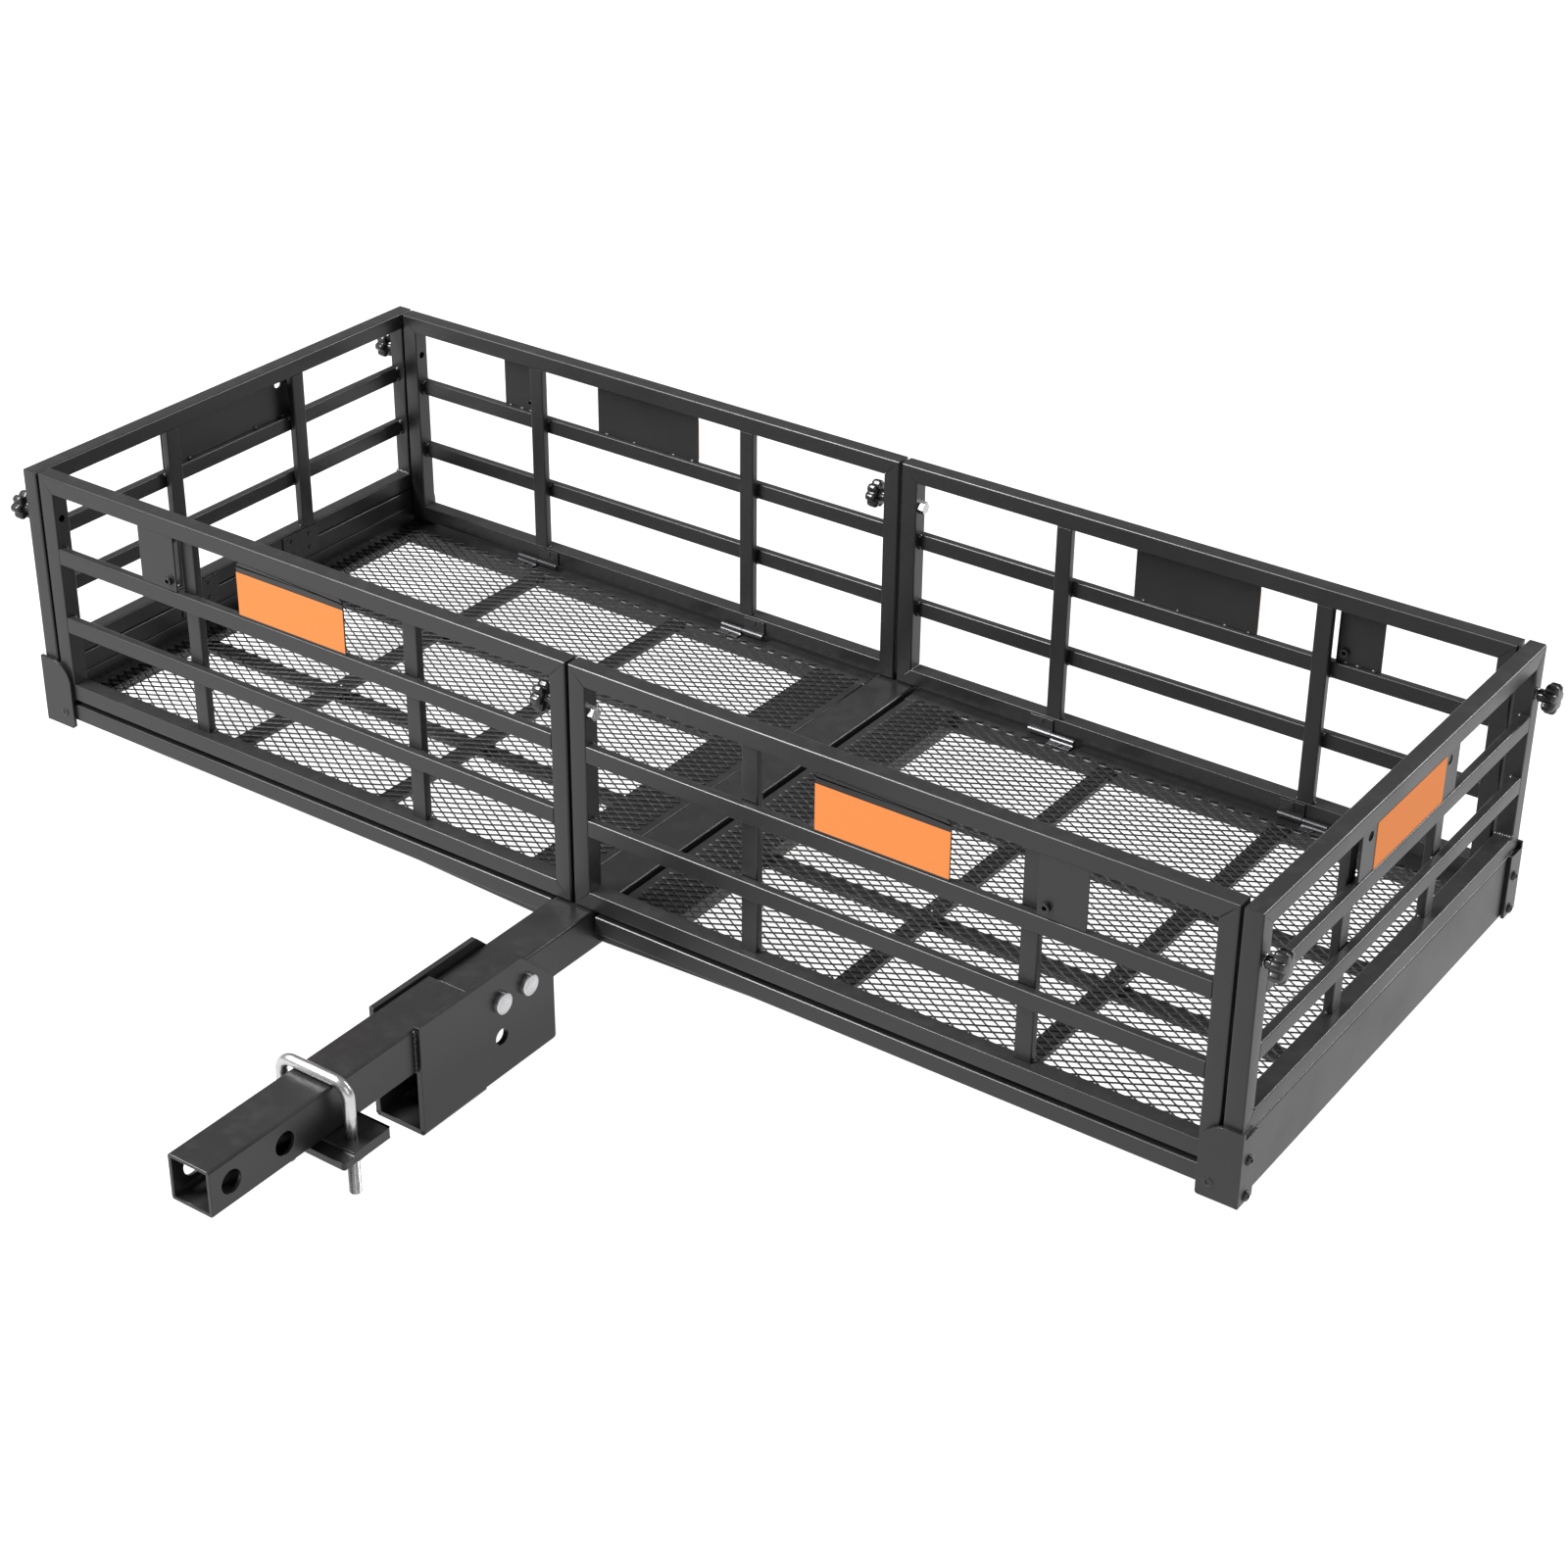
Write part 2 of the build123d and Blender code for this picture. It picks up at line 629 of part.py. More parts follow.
# ---------------------------------------------------------------- long panels
panel_in = half_gap
panel_out = end_inner - corner_gap
badge_mid = (panel_in + panel_out) / 2
faces = (("front", 1, basket_front + face_gap), ("rear", -1, basket_rear - face_gap))
for side, hand, inner_edge, mesh_edge in sides:
    for end, inward, skin_y in faces:
        panel = f"{end}_{hand}"
        x_low, x_high = sorted((side * panel_in, side * panel_out))
        back_y = skin_y + inward * tube
        frame_plane = Plane.XZ.offset(-max(skin_y, back_y))
        stud_y = (skin_y + back_y) / 2
        outer_half = (skin_y, skin_y + inward * bar_t)
        inner_half = (back_y - inward * bar_t, back_y)
        with BuildPart() as panel_frame:
            mitred_frame(frame_plane, x_low, x_high, panel_bottom, panel_top)
            start = min(side * panel_in, side * (panel_in + tube))
            rod(Plane.YZ, stud_y, knob_z, start, tube, stud_r + running_gap, Mode.SUBTRACT)
            stile_wall = sorted((side * (panel_out - tube), side * (panel_out - tube + wall)))
            rod(Plane.YZ, stud_y, knob_z, stile_wall[0], wall, stud_r + running_gap, Mode.SUBTRACT)
        save(f"{panel}_frame", panel_frame)

        with BuildPart() as panel_bars:
            for low in bar_low:
                span_x = (x_low + tube + g, x_high - tube - g)
                box_tube(span_x, outer_half, (low, low + bar_h), "x", bar_wall)
            for offset_x in (-upright_offset, upright_offset):
                upright = side * badge_mid + offset_x
                upright_x = (upright - upright_w / 2, upright + upright_w / 2)
                box_tube(upright_x, inner_half, (panel_bottom + tube + g, panel_top - tube - g), "z", bar_wall)
        save(f"{panel}_bars", panel_bars)

        plate_y = skin_y + inward * badge_set_back
        plate_span = (plate_y, plate_y + inward * badge_t)
        plate_z = (bar_low[1] + bar_h + g, panel_top - tube - g)
        with BuildPart() as panel_plates:
            block((side * badge_mid - badge_w / 2, side * badge_mid + badge_w / 2), plate_span, plate_z)
            top_corners = panel_plates.edges().filter_by(Axis.Y).group_by(Axis.Z)[-1]
            fillet(top_corners, badge_corner)
            small_low = badge_mid + upright_offset + upright_w / 2 + plate_slit
            block((side * small_low, side * (small_low + side_plate_w)), plate_span, plate_z)
        save(f"{panel}_plates", panel_plates)

        with BuildPart() as panel_reflector:
            top = panel_top - tube - reflector_drop
            span_x = (side * badge_mid - badge_w / 2, side * badge_mid + badge_w / 2)
            block(span_x, (plate_y - inward * reflector_t, plate_y), (top - reflector_h, top))
        save(f"{panel}_reflector", panel_reflector)

        axis_y = back_y + inward * axis_out
        with BuildPart() as panel_fittings:
            for spot in hinge_x:
                low, high = side * (spot - barrel_len / 2), side * (spot - knuckle_gap / 2)
                start = min(low, high)
                length = abs(high - low)
                leaf = ((back_y, back_y + inward * leaf_t), (panel_bottom, panel_bottom + leaf_up))
                knuckle(axis_y, start, length, hinge_pin_r + running_gap, [leaf])
                face = back_y + inward * leaf_t
                screw_start = -max(face, face + inward * leaf_screw_t)
                screw_z = panel_bottom + leaf_up - leaf_screw_r - 2
                rod(Plane.XZ, (low + high) / 2, screw_z, screw_start, leaf_screw_t, leaf_screw_r)
            bolt_x = side * (small_low + bumper_in)
            for face, out_of_face in ((plate_y, -inward), (plate_y + inward * badge_t, inward)):
                start = -max(face, face + out_of_face * bumper_reach)
                rod(Plane.XZ, bolt_x, bumper_z, start, bumper_reach, bumper_r)
                rod(Plane.XZ, bolt_x, bumper_z, start, bumper_reach, bumper_socket_r, Mode.SUBTRACT)
            if side > 0:
                nut_x = panel_in + tube
                hex_head(Plane.YZ, stud_y, knob_z, nut_x, cap_nut_t, cap_nut_flats)
        save(f"{panel}_fittings", panel_fittings)

# ---------------------------------------------------------------- knobs
knob_seats = [
    ("knob_corner_front_left", -half_len, -1, basket_front + knob_in),
    ("knob_corner_rear_left", -half_len, -1, basket_rear - knob_in),
    ("knob_corner_front_right", half_len, 1, basket_front + knob_in),
    ("knob_corner_rear_right", half_len, 1, basket_rear - knob_in),
    ("knob_center_front", -half_gap - tube, -1, basket_front + face_gap + tube / 2),
    ("knob_center_rear", -half_gap - tube, -1, basket_rear - face_gap - tube / 2),
]
for node, seat_x, outward, knob_y in knob_seats:
    with BuildPart() as knob:
        neck_at = seat_x + outward * washer_t
        head_at = neck_at + outward * neck_t
        tail_at = seat_x - outward * (tube - 1)
        for start, end, radius in (
            (tail_at, seat_x, stud_r),
            (seat_x, neck_at, washer_r),
            (neck_at, head_at, neck_r),
        ):
            rod(Plane.YZ, knob_y, knob_z, min(start, end), abs(end - start), radius)
        head_end = head_at + outward * knob_t
        low = min(head_at, head_end)
        rod(Plane.YZ, knob_y, knob_z, low, knob_t, knob_core_r)
        for n in range(knob_lobes):
            turn = 2 * math.pi * n / knob_lobes
            lobe_y = knob_y + knob_lobe_at * math.cos(turn)
            lobe_z = knob_z + knob_lobe_at * math.sin(turn)
            rod(Plane.YZ, lobe_y, lobe_z, low, knob_t, knob_lobe_r)
    save(node, knob)
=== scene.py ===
import bpy
import bmesh
import math
import random
from mathutils import Matrix, Vector
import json


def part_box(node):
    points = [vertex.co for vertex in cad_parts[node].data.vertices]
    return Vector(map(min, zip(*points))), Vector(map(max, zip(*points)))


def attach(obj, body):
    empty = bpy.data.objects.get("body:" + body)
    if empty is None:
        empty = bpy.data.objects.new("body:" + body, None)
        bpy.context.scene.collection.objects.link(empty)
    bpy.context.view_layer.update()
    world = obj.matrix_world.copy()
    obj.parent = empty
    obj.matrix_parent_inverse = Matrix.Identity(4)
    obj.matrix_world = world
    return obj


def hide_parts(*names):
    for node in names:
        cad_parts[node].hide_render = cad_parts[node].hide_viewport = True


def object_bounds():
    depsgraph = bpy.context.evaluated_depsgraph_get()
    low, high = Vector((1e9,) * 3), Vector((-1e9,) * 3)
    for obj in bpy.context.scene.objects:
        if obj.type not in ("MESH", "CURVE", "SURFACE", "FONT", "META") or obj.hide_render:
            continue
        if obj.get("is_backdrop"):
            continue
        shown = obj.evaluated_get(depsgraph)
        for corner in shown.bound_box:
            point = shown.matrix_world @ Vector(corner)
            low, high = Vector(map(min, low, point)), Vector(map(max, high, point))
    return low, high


with open("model.json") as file:
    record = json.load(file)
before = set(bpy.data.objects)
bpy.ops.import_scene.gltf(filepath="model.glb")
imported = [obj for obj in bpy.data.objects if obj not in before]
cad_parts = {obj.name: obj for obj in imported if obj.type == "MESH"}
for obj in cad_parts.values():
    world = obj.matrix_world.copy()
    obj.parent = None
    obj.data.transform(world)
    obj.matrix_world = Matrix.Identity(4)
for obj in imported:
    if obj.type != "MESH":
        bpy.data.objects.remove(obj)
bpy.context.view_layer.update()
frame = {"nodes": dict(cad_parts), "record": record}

nodes = frame["nodes"]
BODIES = frame["record"]["behaviour"]["bodies"]
body_of_node = {n: body for body, members in BODIES.items() for n in members}
mm = 0.001

# ------------------------------------------------------------------ measures, in millimetres and degrees
# an edge that turns less than SMOOTH_TURN is shaded smooth, and one that turns more than KNIFE_TURN keeps
# its point; slanting edges between the lengths of MITRE_RUN are where two tubes are mitred
SMOOTH_TURN = 35
KNIFE_TURN = 100
MITRE_RUN = (15, 35)

# along X: the plate's face under a bolt's head, and where the plated cap nuts lie
BOLT_SEAT = 31.8
BOLT_NUT_FLATS = 24
BOLT_NUT_BORE = 8.05
CAP_NUT_SPAN = (21, 32)

GUSSET_BOLT_HEIGHTS = (29, -11)
GUSSET_BOLT_SET_BACK = 15
GUSSET_SCREW_X = 735
BAR_SCREW_X = (-513, -299.5, 299.5, 513)
BAR_SCREW_OFFSETS = (-90.5, 90.5)

KNOB_HEIGHT = 23.5
KNOB_RADIUS = 16.4
KNOB_LOBES = 7
KNOB_LOBE_DEPTH = 3.9
KNOB_HEAD_FROM = 9.55
HUB_RADIUS = 6.9
HUB_FLUTE_DEPTH = 0.55
STUD_TIP = -18.4
STUD_HALF_PITCH = 0.5
STUD_HALF_TURNS = 36
STUD_RIDGE, STUD_GROOVE = 3.95, 3.45

ROD_RADIUS = 6.0
ROD_TIP_RADIUS = 4.6
ROD_BEND = 16.0
ROD_BEND_STEPS = 12
ROD_THREAD_LENGTH = 50.0
ROD_THREAD_PITCH = 1.75
ROD_THREAD_DEPTH = 0.95
ROD_THREAD_STEP = 0.25
CLAMP_WASHER_RADIUS = 14

# welds: depths from a panel's outer face, half widths, and places along X, Y or Z
STILE_INNER = 20.3
BAR_JOINT_DEPTH = 10
UPRIGHT_DEPTH = 15.5
UPRIGHT_HALF = 9.7
UPRIGHT_OFFSET = 157
END_UPRIGHT_OFFSET = 102
BAR_BOTTOMS = (104, 189)
END_BAR_BOTTOMS = (130, 202)
BADGE_BACK = 3.6
BADGE_TACKS = (-62, -20, 38, 66)
SIDE_PLATE_TACKS = (551, 565, 583)
END_BADGE_BACK = 3.9
END_BADGE_TACKS = (-66, 42, 88)
END_BADGE_LOW = 222
CORNER_BEAD_IN = 20.5
CENTER_TUBE_SIDE = 25.5
SHANK_SIDE = 25.8

FLOOR_REACH = 90
FLOOR_DROP = 0.3


# ------------------------------------------------------------------ shader groups
def new_group(name, inputs, outputs):
    """An empty shader group with named sockets: (name, kind, default)."""
    tree = bpy.data.node_groups.new(name, "ShaderNodeTree")
    for label, kind, value in inputs:
        socket = tree.interface.new_socket(label, in_out="INPUT", socket_type=kind)
        socket.default_value = value
    for label, kind in outputs:
        tree.interface.new_socket(label, in_out="OUTPUT", socket_type=kind)
    return tree, tree.nodes.new("NodeGroupInput"), tree.nodes.new("NodeGroupOutput")


def noise_at(tree, coords, scale, detail, rough=0.5):
    tex = tree.nodes.new("ShaderNodeTexNoise")
    tex.inputs["Scale"].default_value = scale
    tex.inputs["Detail"].default_value = detail
    tex.inputs["Roughness"].default_value = rough
    tree.links.new(coords, tex.inputs["Vector"])
    return tex.outputs["Fac"]


def remap(tree, value, low_in, high_in, low_out, high_out):
    node = tree.nodes.new("ShaderNodeMapRange")
    ends = {"From Min": low_in, "From Max": high_in, "To Min": low_out, "To Max": high_out}
    for label, number in ends.items():
        if isinstance(number, (int, float)):
            node.inputs[label].default_value = number
        else:
            tree.links.new(number, node.inputs[label])
    tree.links.new(value, node.inputs["Value"])
    return node.outputs["Result"]


def finish_group():
    """Powder coat or moulded surface: fine texture height, slight tone and gloss variation, thin dust."""
    tree, given, out = new_group(
        "surface finish",
        [("Color", "NodeSocketColor", (0.03, 0.03, 0.03, 1)), ("Roughness", "NodeSocketFloat", 0.4),
         ("Grain", "NodeSocketFloat", 900.0), ("Dust", "NodeSocketFloat", 0.1)],
        [("Color", "NodeSocketColor"), ("Roughness", "NodeSocketFloat"), ("Height", "NodeSocketFloat")])
    place = tree.nodes.new("ShaderNodeTexCoord").outputs["Object"]
    fine = tree.nodes.new("ShaderNodeTexNoise")
    fine.inputs["Detail"].default_value = 2
    tree.links.new(place, fine.inputs["Vector"])
    tree.links.new(given.outputs["Grain"], fine.inputs["Scale"])
    broad = noise_at(tree, place, 14, 3)
    patch = noise_at(tree, place, 55, 4, 0.6)
    normal = tree.nodes.new("ShaderNodeNewGeometry").outputs["Normal"]
    split = tree.nodes.new("ShaderNodeSeparateXYZ")
    tree.links.new(normal, split.inputs[0])
    facing_up = remap(tree, split.outputs["Z"], 0.4, 1, 0, 1)
    speck = remap(tree, patch, 0.48, 0.72, 0, 1)
    amount = tree.nodes.new("ShaderNodeMath")
    amount.operation = "MULTIPLY"
    tree.links.new(facing_up, amount.inputs[0])
    tree.links.new(speck, amount.inputs[1])
    dusty = tree.nodes.new("ShaderNodeMath")
    dusty.operation = "MULTIPLY"
    tree.links.new(amount.outputs[0], dusty.inputs[0])
    tree.links.new(given.outputs["Dust"], dusty.inputs[1])
    tone = remap(tree, broad, 0.3, 0.7, 0.93, 1.07)
    scaled = tree.nodes.new("ShaderNodeVectorMath")
    scaled.operation = "SCALE"
    tree.links.new(given.outputs["Color"], scaled.inputs[0])
    tree.links.new(tone, scaled.inputs["Scale"])
    mix = tree.nodes.new("ShaderNodeMix")
    mix.data_type = "RGBA"
    tree.links.new(dusty.outputs[0], mix.inputs["Factor"])
    tree.links.new(scaled.outputs[0], mix.inputs[6])
    mix.inputs[7].default_value = (0.20, 0.195, 0.185, 1)
    rough_shift = remap(tree, broad, 0.3, 0.7, -0.03, 0.04)
    total = tree.nodes.new("ShaderNodeMath")
    total.operation = "ADD"
    tree.links.new(given.outputs["Roughness"], total.inputs[0])
    tree.links.new(rough_shift, total.inputs[1])
    tree.links.new(mix.outputs[2], out.inputs["Color"])
    tree.links.new(total.outputs[0], out.inputs["Roughness"])
    tree.links.new(fine.outputs["Fac"], out.inputs["Height"])
    return tree


def plating_group():
    """Plated steel: drawn streaks along the part, and small cloudy patches."""
    tree, given, out = new_group(
        "plating",
        [("Color", "NodeSocketColor", (0.7, 0.7, 0.7, 1)), ("Roughness", "NodeSocketFloat", 0.25),
         ("Streak", "NodeSocketVector", (900.0, 900.0, 40.0))],
        [("Color", "NodeSocketColor"), ("Roughness", "NodeSocketFloat"), ("Height", "NodeSocketFloat")])
    place = tree.nodes.new("ShaderNodeTexCoord").outputs["Object"]
    stretch = tree.nodes.new("ShaderNodeVectorMath")
    stretch.operation = "MULTIPLY"
    tree.links.new(place, stretch.inputs[0])
    tree.links.new(given.outputs["Streak"], stretch.inputs[1])
    streaks = noise_at(tree, stretch.outputs[0], 1, 3)
    cloud = noise_at(tree, place, 160, 3, 0.6)
    tone = remap(tree, cloud, 0.3, 0.7, 0.86, 1.05)
    scaled = tree.nodes.new("ShaderNodeVectorMath")
    scaled.operation = "SCALE"
    tree.links.new(given.outputs["Color"], scaled.inputs[0])
    tree.links.new(tone, scaled.inputs["Scale"])
    shift = remap(tree, streaks, 0.3, 0.7, -0.07, 0.09)
    total = tree.nodes.new("ShaderNodeMath")
    total.operation = "ADD"
    tree.links.new(given.outputs["Roughness"], total.inputs[0])
    tree.links.new(shift, total.inputs[1])
    tree.links.new(scaled.outputs[0], out.inputs["Color"])
    tree.links.new(total.outputs[0], out.inputs["Roughness"])
    tree.links.new(streaks, out.inputs["Height"])
    return tree


FINISH = finish_group()
PLATING = plating_group()


def material(name, group, color, roughness, metallic, bump, extra, specular=0.5):
    """A Principled material fed by one of the shared groups."""
    mat = bpy.data.materials.new(name)
    mat.use_nodes = True
    tree = mat.node_tree
    shader = tree.nodes["Principled BSDF"]
    surface = tree.nodes.new("ShaderNodeGroup")
    surface.node_tree = group
    surface.inputs["Color"].default_value = (*color, 1)
    surface.inputs["Roughness"].default_value = roughness
    for label, value in extra.items():
        surface.inputs[label].default_value = value
    relief = tree.nodes.new("ShaderNodeBump")
    relief.inputs["Strength"].default_value = bump
    relief.inputs["Distance"].default_value = 0.0004
    tree.links.new(surface.outputs["Color"], shader.inputs["Base Color"])
    tree.links.new(surface.outputs["Roughness"], shader.inputs["Roughness"])
    tree.links.new(surface.outputs["Height"], relief.inputs["Height"])
    tree.links.new(relief.outputs["Normal"], shader.inputs["Normal"])
    shader.inputs["Metallic"].default_value = metallic
    shader.inputs["Specular IOR Level"].default_value = specular
    return mat


COAT = material("black powder coat", FINISH, (0.009, 0.009, 0.0094), roughness=0.33, metallic=0, bump=0.10,
                extra={"Grain": 1100.0, "Dust": 0.03}, specular=0.38)
# painted shade: the mesh gets the same black powder coat as COAT at half its tone, so it reads darker
SHADED_MESH_COAT = material("mesh powder coat with painted shade", FINISH, (0.0045, 0.0045, 0.0047), roughness=0.42, metallic=0,
                     bump=0.05, extra={"Grain": 900.0, "Dust": 0.0}, specular=0.34)
DARK = material("black oxide", FINISH, (0.040, 0.040, 0.042), roughness=0.27, metallic=0.8, bump=0.08,
                extra={"Grain": 1500.0, "Dust": 0.05})
PLASTIC = material("moulded plastic", FINISH, (0.006, 0.006, 0.0065), roughness=0.27, metallic=0, bump=0.05,
                   extra={"Grain": 500.0, "Dust": 0.04})
RUBBER = material("end cap plastic", FINISH, (0.010, 0.010, 0.010), roughness=0.55, metallic=0, bump=0.10,
                  extra={"Grain": 700.0, "Dust": 0.10})
BRIGHT = material("bright plating", PLATING, (0.50, 0.50, 0.51), roughness=0.26, metallic=1, bump=0.03,
                  extra={"Streak": (500.0, 500.0, 500.0)})
ZINC = material("zinc plating", PLATING, (0.50, 0.50, 0.50), roughness=0.27, metallic=1, bump=0.05,
                extra={"Streak": (1100.0, 1100.0, 60.0)})
WELD = material("coated weld", FINISH, (0.014, 0.014, 0.0145), roughness=0.28, metallic=0, bump=0.30,
                extra={"Grain": 420.0, "Dust": 0.08})


def glowing_reflector_material():
    """Orange reflective sheet with a faint cell pattern under a clear skin, and a painted glow: it shines
    orange of its own, though it is no lamp.
    """
    mat = bpy.data.materials.new("orange reflective sheet with painted glow")
    mat.use_nodes = True
    tree = mat.node_tree
    shader = tree.nodes["Principled BSDF"]
    place = tree.nodes.new("ShaderNodeTexCoord").outputs["Object"]
    cells = tree.nodes.new("ShaderNodeTexVoronoi")
    cells.feature = "DISTANCE_TO_EDGE"
    cells.inputs["Scale"].default_value = 420
    cells.inputs["Randomness"].default_value = 0.15
    tree.links.new(place, cells.inputs["Vector"])
    edge = remap(tree, cells.outputs["Distance"], 0.0, 0.12, 0.0, 1.0)
    mix = tree.nodes.new("ShaderNodeMix")
    mix.data_type = "RGBA"
    mix.inputs[6].default_value = (0.25, 0.078, 0.020, 1)
    mix.inputs[7].default_value = (0.27, 0.086, 0.023, 1)
    tree.links.new(edge, mix.inputs["Factor"])
    tree.links.new(mix.outputs[2], shader.inputs["Base Color"])
    # painted glow: an orange emission makes the sheet shine of its own, though it is no lamp
    shader.inputs["Emission Color"].default_value = (1.0, 0.32, 0.088, 1)
    shader.inputs["Emission Strength"].default_value = 0.42
    shader.inputs["Roughness"].default_value = 0.65
    shader.inputs["Specular IOR Level"].default_value = 0.12
    return mat


ORANGE_WITH_PAINTED_GLOW = glowing_reflector_material()


# ------------------------------------------------------------------ pieces
def place_piece(name, mesh, body, mat=None, node=None):
    """A finished mesh as a shown piece that rides on a body and may stand for a CAD node."""
    piece = bpy.data.objects.new(name, mesh)
    bpy.context.scene.collection.objects.link(piece)
    if mat:
        mesh.materials.clear()
        mesh.materials.append(mat)
    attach(piece, body)
    if node:
        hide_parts(node)
    return piece


def edge_weight(edge, long_from, narrow):
    """How strongly an outer edge is rounded: fully on long straight edges, a little on short ones, and not at
    all on the slanting and knife-sharp edges of a mitre."""
    turn = edge.calc_face_angle_signed(0)
    if turn < math.radians(SMOOTH_TURN):
        return 0
    run = edge.verts[1].co - edge.verts[0].co
    square = max(abs(c) for c in run) > 0.999 * run.length
    mitred = not square and MITRE_RUN[0] * mm < run.length < MITRE_RUN[1] * mm
    if turn > math.radians(KNIFE_TURN) or mitred:
        return 0
    return 1 if square and run.length > long_from * mm else narrow


def soften(node, mat, long_r=1.4, short_r=0.35, long_from=24.0, segments=2, second=None, merge=True):
    """The node's shape with rounded edges: wide on its long outer edges, narrow on the short ones.
    second is another material and a test of a face's centre that says where it goes."""
    source = nodes[node]
    bm = bmesh.new()
    bm.from_mesh(source.data)
    bmesh.ops.remove_doubles(bm, verts=bm.verts, dist=1e-6)
    if merge:
        bmesh.ops.dissolve_limit(bm, angle_limit=math.radians(0.6), verts=bm.verts, edges=bm.edges)
    weight = bm.edges.layers.float.new("bevel_weight_edge")
    for edge in bm.edges:
        if len(edge.link_faces) == 2:
            edge[weight] = edge_weight(edge, long_from, short_r / long_r)
            edge.smooth = edge[weight] > 0 or edge.calc_face_angle(0) < math.radians(SMOOTH_TURN)
    for face in bm.faces:
        face.smooth = True
        face.material_index = 1 if second and second[1](face.calc_center_median()) else 0
    mesh = bpy.data.meshes.new(node + "_shape")
    bm.to_mesh(mesh)
    bm.free()
    piece = place_piece(node + "_finished", mesh, body_of_node[node], None, node)
    for coating in (mat, *([second[0]] if second else [])):
        mesh.materials.append(coating)
    bevel = piece.modifiers.new("rounded edges", "BEVEL")
    bevel.limit_method = "WEIGHT"
    bevel.width = long_r * mm
    bevel.segments = segments
    bevel.use_clamp_overlap = False
    bevel.loop_slide = False
    bevel.miter_outer = "MITER_SHARP"
    shading = piece.modifiers.new("flat face shading", "WEIGHTED_NORMAL")
    shading.keep_sharp = True
    shading.weight = 90
    return piece


def mesh_from(bm, name, smooth_angle=SMOOTH_TURN):
    """The finished shape as a mesh, smooth except over edges that turn more than the angle."""
    bmesh.ops.recalc_face_normals(bm, faces=bm.faces)
    for face in bm.faces:
        face.smooth = True
    for edge in bm.edges:
        sharp = len(edge.link_faces) == 2 and edge.calc_face_angle(0) > math.radians(smooth_angle)
        edge.smooth = not sharp
    mesh = bpy.data.meshes.new(name)
    bm.to_mesh(mesh)
    bm.free()
    return mesh


def ring_of_points(bm, frame_at, around, height, radius_at):
    """One closed row of points at a height; radius_at gives the radius at an angle."""
    row = []
    for k in range(around):
        a = 2 * math.pi * k / around
        r = radius_at(a)
        row.append(bm.verts.new(frame_at @ Vector((r * math.cos(a), r * math.sin(a), height))))
    return row


def join_rows(bm, rows, closed=False):
    """Skins neighbouring rows of points. A closed stack runs back to its first row, any other is capped."""
    for lower, upper in zip(rows, rows[1:] + rows[:1] if closed else rows[1:]):
        for k in range(len(lower)):
            n = (k + 1) % len(lower)
            bm.faces.new((lower[k], lower[n], upper[n], upper[k]))
    if not closed:
        bm.faces.new(list(reversed(rows[0])))
        bm.faces.new(rows[-1])


def add_rings(bm, rings, around, shape, frame_at):
    """Skins a stack of closed rings: each ring is (height, scale), shape gives the radius at an angle."""
    rows = []
    for height, scale in rings:
        rows.append(ring_of_points(bm, frame_at, around, height, lambda a: shape(a, height) * scale))
    join_rows(bm, rows)


def along(axis, origin):
    """A frame whose Z runs along the given axis from the origin, in metres."""
    turn = Vector(axis).to_track_quat("Z", "Y").to_matrix().to_4x4()
    return Matrix.Translation(Vector(origin)) @ turn @ Matrix.Scale(mm, 4)


def lathe(bm, profile, frame_at, around=40):
    """A turned part from (height, radius) pairs in mm."""
    add_rings(bm, profile, around, lambda a, height: 1, frame_at)


def hex_ring(bm, frame_at, bottom, top, flats, bore, chamfer=1.0, around=48):
    """A nut with a bore: rows of points run round the outside, over the face and down the bore."""
    corner, face_r = flats / math.sqrt(3), flats / 2 * 0.96
    mouth, lead_in = bore + 0.5, 0.7
    loop = [(bottom, mouth), (bottom, face_r), (bottom + chamfer, corner), (top - chamfer, corner),
            (top, face_r), (top, mouth), (top - lead_in, bore), (bottom + lead_in, bore)]

    def flat_distance(a):
        sector = (a + math.pi / 6) % (math.pi / 3) - math.pi / 6
        return flats / 2 / math.cos(sector)

    rows = []
    for height, limit in loop:
        rows.append(ring_of_points(bm, frame_at, around, height, lambda a: min(flat_distance(a), limit)))
    join_rows(bm, rows, closed=True)


def washer(bm, frame_at, bottom, top, inner, outer, start=0, stop=360, ease=0.25, rise=0.35, count=48):
    """A flat washer with slightly eased rims, or a split one that rises between its two ends."""
    loop = [(bottom, inner + ease), (bottom, outer - ease), (bottom + ease, outer), (top - ease, outer),
            (top, outer - ease), (top, inner + ease), (top - ease, inner), (bottom + ease, inner)]
    full = stop - start >= 360
    rows = []
    for k in range(count if full else count + 1):
        a = math.radians(start + (stop - start) * k / count)
        lift = 0 if full else rise * (k / count - 0.5)
        rows.append([bm.verts.new(frame_at @ Vector((r * math.cos(a), r * math.sin(a), h + lift)))
                     for h, r in loop])
    join_rows(bm, rows, closed=full)


def box_centre(node):
    """The middle of a node's box, in metres."""
    box_low, box_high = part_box(node)
    return (Vector(box_low) + Vector(box_high)) / 2


